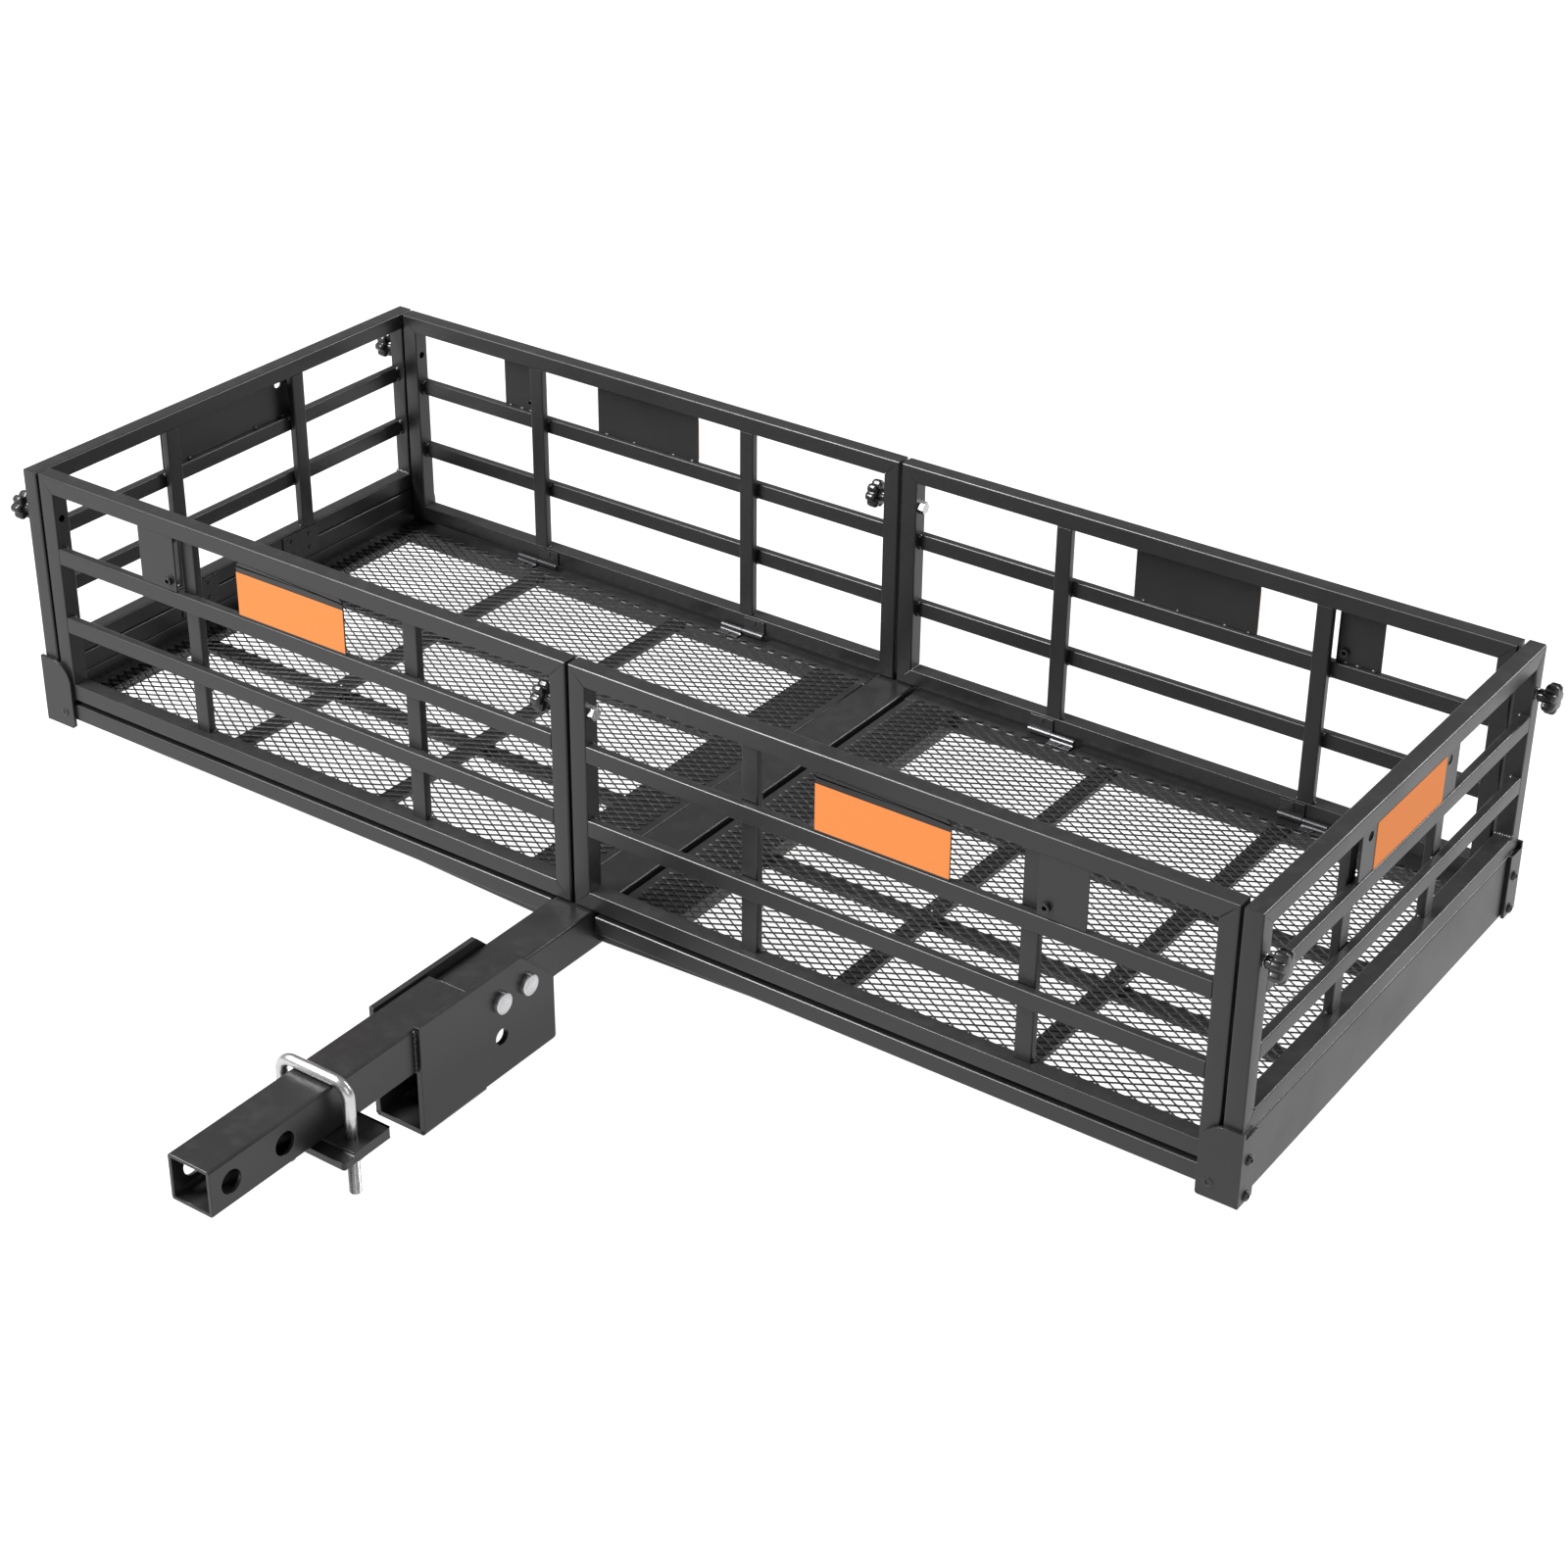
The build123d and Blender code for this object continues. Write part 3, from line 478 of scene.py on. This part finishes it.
# ------------------------------------------------------------------ the coated tubes, bars and plates
THICK_TUBES = ["shank_tube", "center_tube"]
TUBES = ["tray_frame_left", "tray_frame_right", "end_board_left", "end_board_right", "end_left_frame",
         "end_right_frame"]
PLATES = ["pivot_bracket", "kick_strips", "braces", "side_angles", "corner_gussets", "tray_bars",
          "end_badges", "clamp_plate"]
BARS = ["end_left_bars", "end_right_bars"]
PANELS = [f"{end}_{hand}" for end in ("front", "rear") for hand in ("left", "right")]
for panel in PANELS:
    TUBES.append(panel + "_frame")
    BARS.append(panel + "_bars")
    PLATES.append(panel + "_plates")
for node in THICK_TUBES:
    soften(node, COAT, long_r=2.6, short_r=0.8, long_from=60, segments=3)
for node in TUBES:
    soften(node, COAT, long_r=2.0, long_from=60, segments=3)
for node in BARS:
    soften(node, COAT, long_r=1.5, long_from=30)
for node in PLATES:
    soften(node, COAT, long_r=0.5, short_r=0.3, merge=node != "pivot_bracket")
soften("tube_cap", RUBBER, long_r=1.2, short_r=0.6)
for node in ("tray_hinges", "end_hinges"):
    soften(node, DARK, long_r=0.35, short_r=0.25)
soften("tray_screws", DARK, long_r=0.3, short_r=0.3)
for panel in PANELS:
    soften(panel + "_reflector", ORANGE_WITH_PAINTED_GLOW, long_r=0.15, short_r=0.15)
soften("end_reflectors", ORANGE_WITH_PAINTED_GLOW, long_r=0.15, short_r=0.15)


# ------------------------------------------------------------------ expanded mesh floors
def mesh_tree():
    """Expanded metal: tilted strands that meet at knuckles on two interleaved grids of points."""
    tree = bpy.data.node_groups.new("expanded mesh", "GeometryNodeTree")
    inputs = (("Long Pitch", "NodeSocketFloat"), ("Short Pitch", "NodeSocketFloat"),
              ("Columns", "NodeSocketInt"), ("Rows", "NodeSocketInt"), ("Strand Width", "NodeSocketFloat"),
              ("Strand Thickness", "NodeSocketFloat"), ("Tilt", "NodeSocketFloat"),
              ("Unevenness", "NodeSocketFloat"), ("Seed", "NodeSocketInt"), ("Coating", "NodeSocketMaterial"))
    for label, kind in inputs:
        tree.interface.new_socket(label, in_out="INPUT", socket_type=kind)
    tree.interface.new_socket("Geometry", in_out="OUTPUT", socket_type="NodeSocketGeometry")
    given = tree.nodes.new("NodeGroupInput").outputs
    out = tree.nodes.new("NodeGroupOutput").inputs
    link = tree.links.new

    def calc(operation, a, b=None):
        node = tree.nodes.new("ShaderNodeMath")
        node.operation = operation
        for socket, value in zip(node.inputs, (a, b)):
            if isinstance(value, (int, float)):
                socket.default_value = value
            elif value is not None:
                link(value, socket)
        return node.outputs[0]

    def vector(x, y, z):
        node = tree.nodes.new("ShaderNodeCombineXYZ")
        for socket, value in zip(node.inputs, (x, y, z)):
            if isinstance(value, (int, float)):
                socket.default_value = value
            else:
                link(value, socket)
        return node.outputs[0]

    def moved(geometry, translation=None, rotation=None):
        node = tree.nodes.new("GeometryNodeTransform")
        link(geometry, node.inputs["Geometry"])
        if translation is not None:
            link(translation, node.inputs["Translation"])
        if rotation is not None:
            link(rotation, node.inputs["Rotation"])
        return node.outputs["Geometry"]

    def joined(*parts):
        node = tree.nodes.new("GeometryNodeJoinGeometry")
        for part in parts:
            link(part, node.inputs[0])
        return node.outputs[0]

    def grid(fewer):
        node = tree.nodes.new("GeometryNodeMeshGrid")
        across = calc("SUBTRACT", given["Columns"], fewer)
        deep = calc("SUBTRACT", given["Rows"], fewer)
        link(calc("MULTIPLY", given["Long Pitch"], calc("SUBTRACT", across, 1)), node.inputs["Size X"])
        link(calc("MULTIPLY", given["Short Pitch"], calc("SUBTRACT", deep, 1)), node.inputs["Size Y"])
        link(across, node.inputs["Vertices X"])
        link(deep, node.inputs["Vertices Y"])
        return node.outputs["Mesh"]

    half_long = calc("MULTIPLY", given["Long Pitch"], 0.5)
    half_short = calc("MULTIPLY", given["Short Pitch"], 0.5)
    long_squared = calc("MULTIPLY", half_long, half_long)
    short_squared = calc("MULTIPLY", half_short, half_short)
    run = calc("SQRT", calc("ADD", long_squared, short_squared))
    slope = calc("ARCTAN2", half_short, half_long)
    strand = tree.nodes.new("GeometryNodeMeshCube")
    link(vector(run, given["Strand Width"], given["Strand Thickness"]), strand.inputs["Size"])
    quarter_long = calc("MULTIPLY", half_long, 0.5)
    quarter_short = calc("MULTIPLY", half_short, 0.5)
    tipped = moved(strand.outputs["Mesh"], rotation=vector(given["Tilt"], 0, 0))
    rising = moved(moved(tipped, rotation=vector(0, 0, slope)),
                   translation=vector(quarter_long, quarter_short, 0))
    other = moved(strand.outputs["Mesh"], rotation=vector(given["Tilt"], 0, 0))
    falling = moved(moved(other, rotation=vector(0, 0, calc("MULTIPLY", slope, -1))),
                    translation=vector(quarter_long, calc("MULTIPLY", quarter_short, -1), 0))
    knuckle = tree.nodes.new("GeometryNodeMeshCube")
    link(vector(calc("MULTIPLY", given["Strand Width"], 2.4), calc("MULTIPLY", given["Strand Width"], 1.35),
                given["Strand Thickness"]), knuckle.inputs["Size"])
    turned = moved(knuckle.outputs["Mesh"], rotation=vector(given["Tilt"], 0, 0))
    cell = joined(rising, falling, turned)
    scatter = tree.nodes.new("GeometryNodeInstanceOnPoints")
    link(joined(grid(0), grid(1)), scatter.inputs["Points"])
    link(cell, scatter.inputs["Instance"])
    uneven = tree.nodes.new("FunctionNodeRandomValue")
    uneven.data_type = "FLOAT_VECTOR"
    link(vector(given["Unevenness"], given["Unevenness"], 0), uneven.inputs["Max"])
    link(vector(calc("MULTIPLY", given["Unevenness"], -1), calc("MULTIPLY", given["Unevenness"], -1), 0),
         uneven.inputs["Min"])
    link(given["Seed"], uneven.inputs["Seed"])
    link(uneven.outputs["Value"], scatter.inputs["Rotation"])
    real = tree.nodes.new("GeometryNodeRealizeInstances")
    link(scatter.outputs["Instances"], real.inputs[0])
    dressed = tree.nodes.new("GeometryNodeSetMaterial")
    link(real.outputs[0], dressed.inputs["Geometry"])
    link(given["Coating"], dressed.inputs["Material"])
    link(dressed.outputs["Geometry"], out[0])
    return tree


def from_nodes(tree, values, name):
    """The tree's own geometry as a plain mesh, with its inputs set before it is first evaluated."""
    holder = bpy.data.objects.new(name + "_source", bpy.data.meshes.new(name + "_source"))
    bpy.context.scene.collection.objects.link(holder)
    modifier = holder.modifiers.new("generated", "NODES")
    modifier.node_group = tree
    for item in tree.interface.items_tree:
        if item.in_out == "INPUT":
            modifier[item.identifier] = values[item.name]
    graph = bpy.context.evaluated_depsgraph_get()
    mesh = bpy.data.meshes.new_from_object(holder.evaluated_get(graph), depsgraph=graph)
    mesh.name = name
    holder.modifiers.remove(modifier)
    bpy.data.objects.remove(holder)
    return mesh


EXPANDED = mesh_tree()
LONG_PITCH, SHORT_PITCH = 20.1 * mm, 11.5 * mm
STRAND_WIDTH, STRAND_THICKNESS = 1.55 * mm, 1.0 * mm
STRAND_TILT, STRAND_UNEVENNESS = math.radians(28), math.radians(1.5)
MESH_LIFT = 0.95 * mm
for hand, seed in (("left", 3), ("right", 8)):
    node = f"tray_mesh_{hand}"
    box_low, box_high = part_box(node)
    size = Vector(box_high) - Vector(box_low)
    centre = box_centre(node)
    columns = int(size.x / LONG_PITCH)
    rows = int(size.y / SHORT_PITCH) + 1
    mesh = from_nodes(EXPANDED, {
        "Long Pitch": LONG_PITCH, "Short Pitch": SHORT_PITCH, "Columns": columns + 1, "Rows": rows,
        "Strand Width": STRAND_WIDTH, "Strand Thickness": STRAND_THICKNESS, "Tilt": STRAND_TILT,
        "Unevenness": STRAND_UNEVENNESS, "Seed": seed, "Coating": SHADED_MESH_COAT}, node + "_strands")
    mesh.transform(Matrix.Translation((centre.x - LONG_PITCH / 4, centre.y, box_low[2] + MESH_LIFT)))
    place_piece(node + "_strands", mesh, body_of_node[node], None, node)


# ------------------------------------------------------------------ bolts, nuts and screws
def bolt_piece(node, name):
    """A round-headed bolt along X, with a chamfered tail and a shallow dish in its head."""
    centre = box_centre(node)
    bm = bmesh.new()
    at = along((1, 0, 0), (0, centre.y, centre.z))
    tail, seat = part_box(node)[0][0] / mm, BOLT_SEAT
    profile = [(tail, 6.6), (tail + 1.2, 7.95), (seat, 8.0), (seat, 11.2), (seat + 0.3, 11.5),
               (seat + 4.6, 11.5), (seat + 5.5, 11.1), (seat + 5.9, 10.2), (seat + 6, 9.2),
               (seat + 5.86, 8.9), (seat + 5.86, 0.01)]
    lathe(bm, profile, at, 64)
    return place_piece(name, mesh_from(bm, name, 30), body_of_node[node], BRIGHT, node)


bolt_piece("pivot_bolt", "pivot_bolt_plated")
bolt_piece("lock_bolt", "lock_bolt_plated")

nuts_low, nuts_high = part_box("bolt_nuts")
bm = bmesh.new()
for bolt in ("pivot_bolt", "lock_bolt"):
    centre = box_centre(bolt)
    at = along((1, 0, 0), (0, centre.y, centre.z))
    hex_ring(bm, at, nuts_low[0] / mm, nuts_high[0] / mm, BOLT_NUT_FLATS, BOLT_NUT_BORE)
place_piece("bolt_nuts_plated", mesh_from(bm, "bolt_nuts_plated"), "shank", ZINC, "bolt_nuts")


# ------------------------------------------------------------------ hinge pins and the panels' fittings
def on_cap_nut(centre):
    """Whether a face's centre lies on one of the plated cap nuts at the middle joint."""
    return CAP_NUT_SPAN[0] < centre.x / mm < CAP_NUT_SPAN[1]


soften("hinge_pins", DARK, long_r=0.3, short_r=0.3)
for panel in PANELS:
    soften(panel + "_fittings", DARK, long_r=0.35, short_r=0.25, second=(BRIGHT, on_cap_nut))

# turned outlines, as (height, radius) pairs
GUSSET_BOLT = [(-0.2, 5.5), (0.9, 5.5), (2.1, 4.9), (2.8, 3.7), (3.0, 2.9), (3.0, 2.4), (1.5, 2.2),
               (1.4, 0.01)]
GUSSET_SCREW = [(-0.2, 5.0), (0.3, 5.0), (0.8, 4.4), (0.8, 3.2), (-0.1, 2.8), (-0.1, 0.01)]
BAR_SCREW = [(-0.2, 5.6), (0.4, 5.6), (1.2, 4.6), (1.5, 3.2), (1.5, 2.2), (0.5, 1.8), (0.5, 0.01)]

gusset_low, gusset_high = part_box("corner_gussets")
bm = bmesh.new()
for side, tip in ((-1, gusset_low[0]), (1, gusset_high[0])):
    for outward, skin in ((-1, gusset_low[1]), (1, gusset_high[1])):
        for z in GUSSET_BOLT_HEIGHTS:
            at = along((side, 0, 0), (tip, skin - outward * GUSSET_BOLT_SET_BACK * mm, z * mm))
            lathe(bm, GUSSET_BOLT, at)
        at = along((0, outward, 0), (side * GUSSET_SCREW_X * mm, skin, 0))
        lathe(bm, GUSSET_SCREW, at)
mesh = mesh_from(bm, "gusset_bolts_turned", 40)
place_piece("gusset_bolts_turned", mesh, "tray", DARK, "gusset_bolts")

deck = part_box("tray_bars")[1][2]
middle = box_centre("tray_bars").y
bm = bmesh.new()
for x in BAR_SCREW_X:
    for offset in BAR_SCREW_OFFSETS:
        at = along((0, 0, 1), (x * mm, middle + offset * mm, deck))
        lathe(bm, BAR_SCREW, at, 24)
place_piece("bar_screw_heads", mesh_from(bm, "bar_screw_heads", 40), "tray", DARK, None)


# ------------------------------------------------------------------ knobs
# outlines as (height, share of the full radius) pairs, and of the washer as (height, radius) pairs
KNOB_HEAD = [(9.5, 0.50), (9.6, 0.84), (10.6, 0.94), (12.0, 0.99), (13.0, 1.0), (18.6, 1.0), (20.0, 0.985),
             (21.2, 0.95), (22.3, 0.87), (23.0, 0.72), (23.4, 0.5), (23.5, 0.02)]
KNOB_HUB = [(1.6, 0.90), (2.2, 0.98), (3.2, 1.0), (8.4, 1.0), (9.9, 1.12)]
KNOB_WASHER = [(0.0, 4.6), (0.05, 6.1), (0.35, 6.4), (1.1, 6.4), (1.4, 6.1), (1.45, 4.2)]


def scalloped(a, radius, depth):
    """The radius at an angle, with one hollow between each two lobes."""
    return radius - depth * ((1 - math.cos(KNOB_LOBES * a)) / 2) ** 2


def head_radius(a, height):
    """The knob's lobes, drawn in a little at the underside."""
    full = scalloped(a, KNOB_RADIUS, KNOB_LOBE_DEPTH)
    return full if height > KNOB_HEAD_FROM else full * 0.9


def hub_radius(a, height):
    """The hub's shallow flutes, the same at every height."""
    return scalloped(a, HUB_RADIUS, HUB_FLUTE_DEPTH)


def stud_outline():
    """The stud from its chamfered tip: a thread of ridges and grooves, up to just inside the hub."""
    outline = [(STUD_TIP - 0.6, 3.2), (STUD_TIP, 3.9)]
    for k in range(1, STUD_HALF_TURNS + 1):
        outline.append((STUD_TIP + k * STUD_HALF_PITCH, STUD_GROOVE if k % 2 else STUD_RIDGE))
    return [*outline, (1.7, 3.9)]


def knob_piece(node, outward):
    """A lobed knob with its washer and threaded stud, on the side of the panel that outward points to."""
    box_low, box_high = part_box(node)
    centre = box_centre(node)
    seat = box_high[0] - KNOB_HEIGHT * mm if outward > 0 else box_low[0] + KNOB_HEIGHT * mm
    at = along((outward, 0, 0), (seat, centre.y, centre.z))
    bm = bmesh.new()
    add_rings(bm, KNOB_HEAD, 112, head_radius, at)
    add_rings(bm, KNOB_HUB, 56, hub_radius, at)
    split = len(bm.faces)
    lathe(bm, KNOB_WASHER, at)
    lathe(bm, stud_outline(), at, 32)
    bm.faces.ensure_lookup_table()
    for face in bm.faces[split:]:
        face.material_index = 1
    mesh = mesh_from(bm, node + "_moulded", 42)
    place_piece(node + "_moulded", mesh, body_of_node[node], None, node)
    mesh.materials.append(PLASTIC)
    mesh.materials.append(BRIGHT)


for node in body_of_node:
    if node.startswith("knob_"):
        knob_piece(node, 1 if node.endswith("right") else -1)


# ------------------------------------------------------------------ U-bolt tightener
def u_bolt_path(leg, foot, top):
    """The rod's middle line as (x, z) points, from one foot over the top to the other."""
    path = []
    for k in range(int(ROD_THREAD_LENGTH / ROD_THREAD_STEP) + 1):
        path.append((-leg, foot + k * ROD_THREAD_STEP))
    path.append((-leg, top - ROD_BEND))
    for k in range(1, ROD_BEND_STEPS):
        a = math.pi - math.pi / 2 * k / ROD_BEND_STEPS
        path.append((-leg + ROD_BEND + ROD_BEND * math.cos(a), top - ROD_BEND + ROD_BEND * math.sin(a)))
    path += [(-leg + ROD_BEND, top), (0, top)]
    return path + [(-x, z) for x, z in reversed(path[:-1])]


def rod_radius(a, x, from_foot, leg):
    """The rod's radius at an angle: a helical thread on both legs that fades out at its upper end."""
    if from_foot > ROD_THREAD_LENGTH or abs(abs(x) - leg) >= 0.01:
        return ROD_RADIUS
    hand = 1 if x < 0 else -1
    turn = (from_foot / ROD_THREAD_PITCH + hand * a / (2 * math.pi)) % 1.0
    fade = min(1.0, (ROD_THREAD_LENGTH - from_foot) / 3)
    return min(ROD_RADIUS - fade * ROD_THREAD_DEPTH * abs(2 * turn - 1), ROD_TIP_RADIUS + from_foot * 1.1)


def u_bolt_piece(around=40):
    box_low, box_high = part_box("u_bolt")
    foot, top = box_low[2] / mm, box_high[2] / mm - ROD_RADIUS
    leg, y = box_high[0] / mm - ROD_RADIUS, box_centre("u_bolt").y / mm
    path = u_bolt_path(leg, foot, top)
    bm = bmesh.new()
    rows = []
    for n, (x, z) in enumerate(path):
        before, after = path[max(n - 1, 0)], path[min(n + 1, len(path) - 1)]
        direction = Vector((after[0] - before[0], 0, after[1] - before[1])).normalized()
        side = Vector((0, 1, 0))
        up = direction.cross(side)
        row = []
        for k in range(around):
            a = 2 * math.pi * k / around
            r = rod_radius(a, x, z - foot, leg)
            row.append(bm.verts.new((Vector((x, y, z)) + (side * math.cos(a) + up * math.sin(a)) * r) * mm))
        rows.append(row)
    join_rows(bm, rows)
    place_piece("u_bolt_threaded", mesh_from(bm, "u_bolt_threaded", 50), "shank", ZINC, "u_bolt")


def clamp_nut_piece():
    """On each leg a flat washer, a split washer and a nut, stacked down from the clamp plate."""
    under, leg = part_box("clamp_nuts")[1][2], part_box("clamp_nuts")[1][0] - CLAMP_WASHER_RADIUS * mm
    bm = bmesh.new()
    for x in (-leg, leg):
        at = along((0, 0, -1), (x, box_centre("clamp_nuts").y, under))
        washer(bm, at, bottom=0.0, top=1.3, inner=6.1, outer=CLAMP_WASHER_RADIUS)
        washer(bm, at, bottom=1.3, top=2.95, inner=6.3, outer=10.2, start=14, stop=352)
        hex_ring(bm, at, bottom=3.0, top=13.0, flats=18, bore=6.05)
    mesh = mesh_from(bm, "clamp_nuts_plated")
    place_piece("clamp_nuts_plated", mesh, "shank", ZINC, "clamp_nuts")


u_bolt_piece()
clamp_nut_piece()


# ------------------------------------------------------------------ welds
random.seed(5)


def tack(bm, where, radius=2.6, flat=(1, 1, 1)):
    """One small weld tack: an uneven bead half sunk in the joint."""
    made = bmesh.ops.create_icosphere(bm, subdivisions=2, radius=radius * mm)["verts"]
    lean = random.uniform(0.85, 1.2)
    for v in made:
        wobble = 1 + random.uniform(-0.08, 0.08)
        v.co = Vector(where) + Vector((v.co.x * flat[0] * lean, v.co.y * flat[1], v.co.z * flat[2])) * wobble


def bead(bm, start, end, radius=2.4, step=2.6):
    """A run of overlapping tacks along a joint."""
    start, end = Vector(start), Vector(end)
    count = max(2, int((end - start).length / (step * mm)))
    for k in range(count + 1):
        drift = Vector([random.uniform(-0.25, 0.25) * mm for _ in range(3)])
        tack(bm, start.lerp(end, k / count) + drift, radius * random.uniform(0.88, 1.1))


def panel_welds(bm, across, node, bars, uprights, skin, inward, ends):
    """Tacks on one panel, where bars meet uprights, uprights meet the rails and bars meet the stiles. across
    maps (run, depth, height) to a point, skin is the outer face and inward is the way into the basket."""
    low_z, high_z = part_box(node)[0][2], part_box(node)[1][2]
    joint = skin + inward * BAR_JOINT_DEPTH * mm
    inner = skin + inward * UPRIGHT_DEPTH * mm
    for u in uprights:
        for edge in (-UPRIGHT_HALF, UPRIGHT_HALF):
            for z in bars:
                tack(bm, across(u + edge * mm, joint, (z + random.choice((2.5, 16.5))) * mm), 2.4)
            tack(bm, across(u + edge * mm * 0.6, inner, high_z - 20 * mm), 2.7, (1.4, 1, 0.6))
            tack(bm, across(u + edge * mm, inner, low_z + 20 * mm), 2.7)
    for u in ends:
        for z in bars:
            tack(bm, across(u, joint, (z + 3) * mm), 3.2)
            tack(bm, across(u, joint, (z + 17) * mm), 3.6, (1, 1, 0.8))


for panel in PANELS:
    frame_low, frame_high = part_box(panel + "_frame")
    skin, inward = (frame_low[1], 1) if panel.startswith("front") else (frame_high[1], -1)
    centre_x = box_centre(panel + "_frame").x
    side = 1 if centre_x > 0 else -1
    bm = bmesh.new()
    panel_welds(bm, lambda u, d, z: (u, d, z), panel + "_frame", BAR_BOTTOMS,
                (centre_x - UPRIGHT_OFFSET * mm, centre_x + UPRIGHT_OFFSET * mm), skin, inward,
                (frame_low[0] + STILE_INNER * mm, frame_high[0] - STILE_INNER * mm))
    back = skin + inward * BADGE_BACK * mm
    plate_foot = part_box(panel + "_plates")[0][2] + 0.3 * mm
    for x in BADGE_TACKS:
        tack(bm, (centre_x + x * mm, back, plate_foot), 2.0, (1.8, 0.8, 0.7))
    for x in SIDE_PLATE_TACKS:
        tack(bm, (side * x * mm, back, plate_foot), 2.0, (2.0, 0.8, 0.7))
    mesh = mesh_from(bm, panel + "_welds", 80)
    place_piece(panel + "_welds", mesh, panel + "_panel", WELD, None)

bm = bmesh.new()
for hand, side in (("left", -1), ("right", 1)):
    node = f"end_{hand}_frame"
    frame_low, frame_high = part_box(node)
    skin = frame_high[0] if side > 0 else frame_low[0]
    centre_y = box_centre(node).y
    panel_welds(bm, lambda u, d, z: (d, u, z), node, END_BAR_BOTTOMS,
                (centre_y - END_UPRIGHT_OFFSET * mm, centre_y + END_UPRIGHT_OFFSET * mm), skin, -side,
                (frame_low[1] + STILE_INNER * mm, frame_high[1] - STILE_INNER * mm))
    back = skin - side * END_BADGE_BACK * mm
    for y in END_BADGE_TACKS:
        tack(bm, (back, centre_y + y * mm, END_BADGE_LOW * mm), 2.4, (0.8, 1.5, 0.8))
    z = frame_low[2] + CORNER_BEAD_IN * mm
    for y in (frame_low[1] + CORNER_BEAD_IN * mm, frame_high[1] - CORNER_BEAD_IN * mm):
        bead(bm, (skin - side * 2 * mm, y, z), (skin - side * 18 * mm, y, z), 2.8)
brace_low, brace_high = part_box("braces")
for side in (-1, 1):
    x = side * CENTER_TUBE_SIDE * mm
    for y in (brace_low[1] + 2 * mm, brace_high[1] - 2 * mm):
        bead(bm, (x, y, -21 * mm), (x, y, -15 * mm), 2.4)
place_piece("tray_welds", mesh_from(bm, "tray_welds", 80), "tray", WELD, None)

bm = bmesh.new()
bracket_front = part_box("pivot_bracket")[0][1] - 0.6 * mm
for side in (-1, 1):
    x = side * SHANK_SIDE * mm
    bead(bm, (x, bracket_front, -22 * mm), (x, bracket_front, 22 * mm), 2.0)
place_piece("bracket_welds", mesh_from(bm, "bracket_welds", 80), "shank", WELD, None)


# ------------------------------------------------------------------ floor, light and camera
def floor_piece(z):
    """A pale floor that shines a little of its own, wide enough to have no edge in a low view."""
    mesh = bpy.data.meshes.new("floor")
    reach = FLOOR_REACH
    corners = [(-reach, -reach, z), (reach, -reach, z), (reach, reach, z), (-reach, reach, z)]
    mesh.from_pydata(corners, [], [(0, 1, 2, 3)])
    floor = bpy.data.objects.new("floor", mesh)
    bpy.context.scene.collection.objects.link(floor)
    mat = bpy.data.materials.new("pale floor")
    mat.use_nodes = True
    shader = mat.node_tree.nodes["Principled BSDF"]
    shader.inputs["Base Color"].default_value = (0.16, 0.16, 0.16, 1)
    shader.inputs["Roughness"].default_value = 0.9
    shader.inputs["Specular IOR Level"].default_value = 0.1
    shader.inputs["Emission Color"].default_value = (1, 1, 1, 1)
    shader.inputs["Emission Strength"].default_value = 0.96
    mesh.materials.append(mat)
    floor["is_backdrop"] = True


def area_light(name, direction, distance, size, watts, target, upward=(0, 0, 1)):
    """A rectangular lamp that faces the target; its second side runs along upward."""
    data = bpy.data.lights.new(name, "AREA")
    data.shape = "RECTANGLE"
    data.size, data.size_y = size
    data.energy = watts
    lamp = bpy.data.objects.new(name, data)
    spot = Vector(direction).normalized()
    across = Vector(upward).cross(spot).normalized()
    turned = Matrix((across, spot.cross(across), spot)).transposed().to_4x4()
    lamp.matrix_world = Matrix.Translation(Vector(target) + spot * distance) @ turned
    bpy.context.scene.collection.objects.link(lamp)
    lamp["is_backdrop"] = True


floor_piece(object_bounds()[0][2] - FLOOR_DROP * mm)
target = (0.0, 0.75, 0.12)
area_light("key", direction=(-0.476, -0.47, 0.745), distance=4.2, size=(0.8, 3.2), watts=560, target=target,
           upward=(0, 0.84, 0.54))
area_light("rim", direction=(0.485, 0.734, 0.476), distance=4.4, size=(0.7, 2.6), watts=130, target=target,
           upward=(-0.59, 0, 0.81))
area_light("fill", direction=(0.85, -0.45, 0.45), distance=4.5, size=(2.4, 2.4), watts=30, target=target)

world = bpy.data.worlds.new("studio")
world.use_nodes = True
world.node_tree.nodes["Background"].inputs["Color"].default_value = (1, 1, 1, 1)
world.node_tree.nodes["Background"].inputs["Strength"].default_value = 0.42
bpy.context.scene.world = world
bpy.context.scene.view_settings.view_transform = "Standard"

CAMERA_PLACE = (1.65295, -1.4605, 1.6679)
CAMERA_TURN, CAMERA_TIP, CAMERA_ROLL = 33.191, 28.837, 1.503
camera_data = bpy.data.cameras.new("camera")
camera_data.sensor_width = 36
camera_data.lens = 68.56
camera_data.shift_x = -0.0593
camera_data.shift_y = -0.0526
camera_data.clip_end = 250
camera = bpy.data.objects.new("camera", camera_data)
turn, tip, roll = math.radians(CAMERA_TURN), math.radians(CAMERA_TIP), math.radians(CAMERA_ROLL)
right = Vector((math.cos(turn), math.sin(turn), 0))
forward = Vector((-math.sin(turn) * math.cos(tip), math.cos(turn) * math.cos(tip), -math.sin(tip)))
upward = right.cross(forward)
rolled_right = right * math.cos(roll) + upward * math.sin(roll)
rolled_up = upward * math.cos(roll) - right * math.sin(roll)
facing = Matrix((rolled_right, rolled_up, -forward)).transposed().to_4x4()
camera.matrix_world = Matrix.Translation(CAMERA_PLACE) @ facing
bpy.context.scene.collection.objects.link(camera)
bpy.context.scene.camera = camera
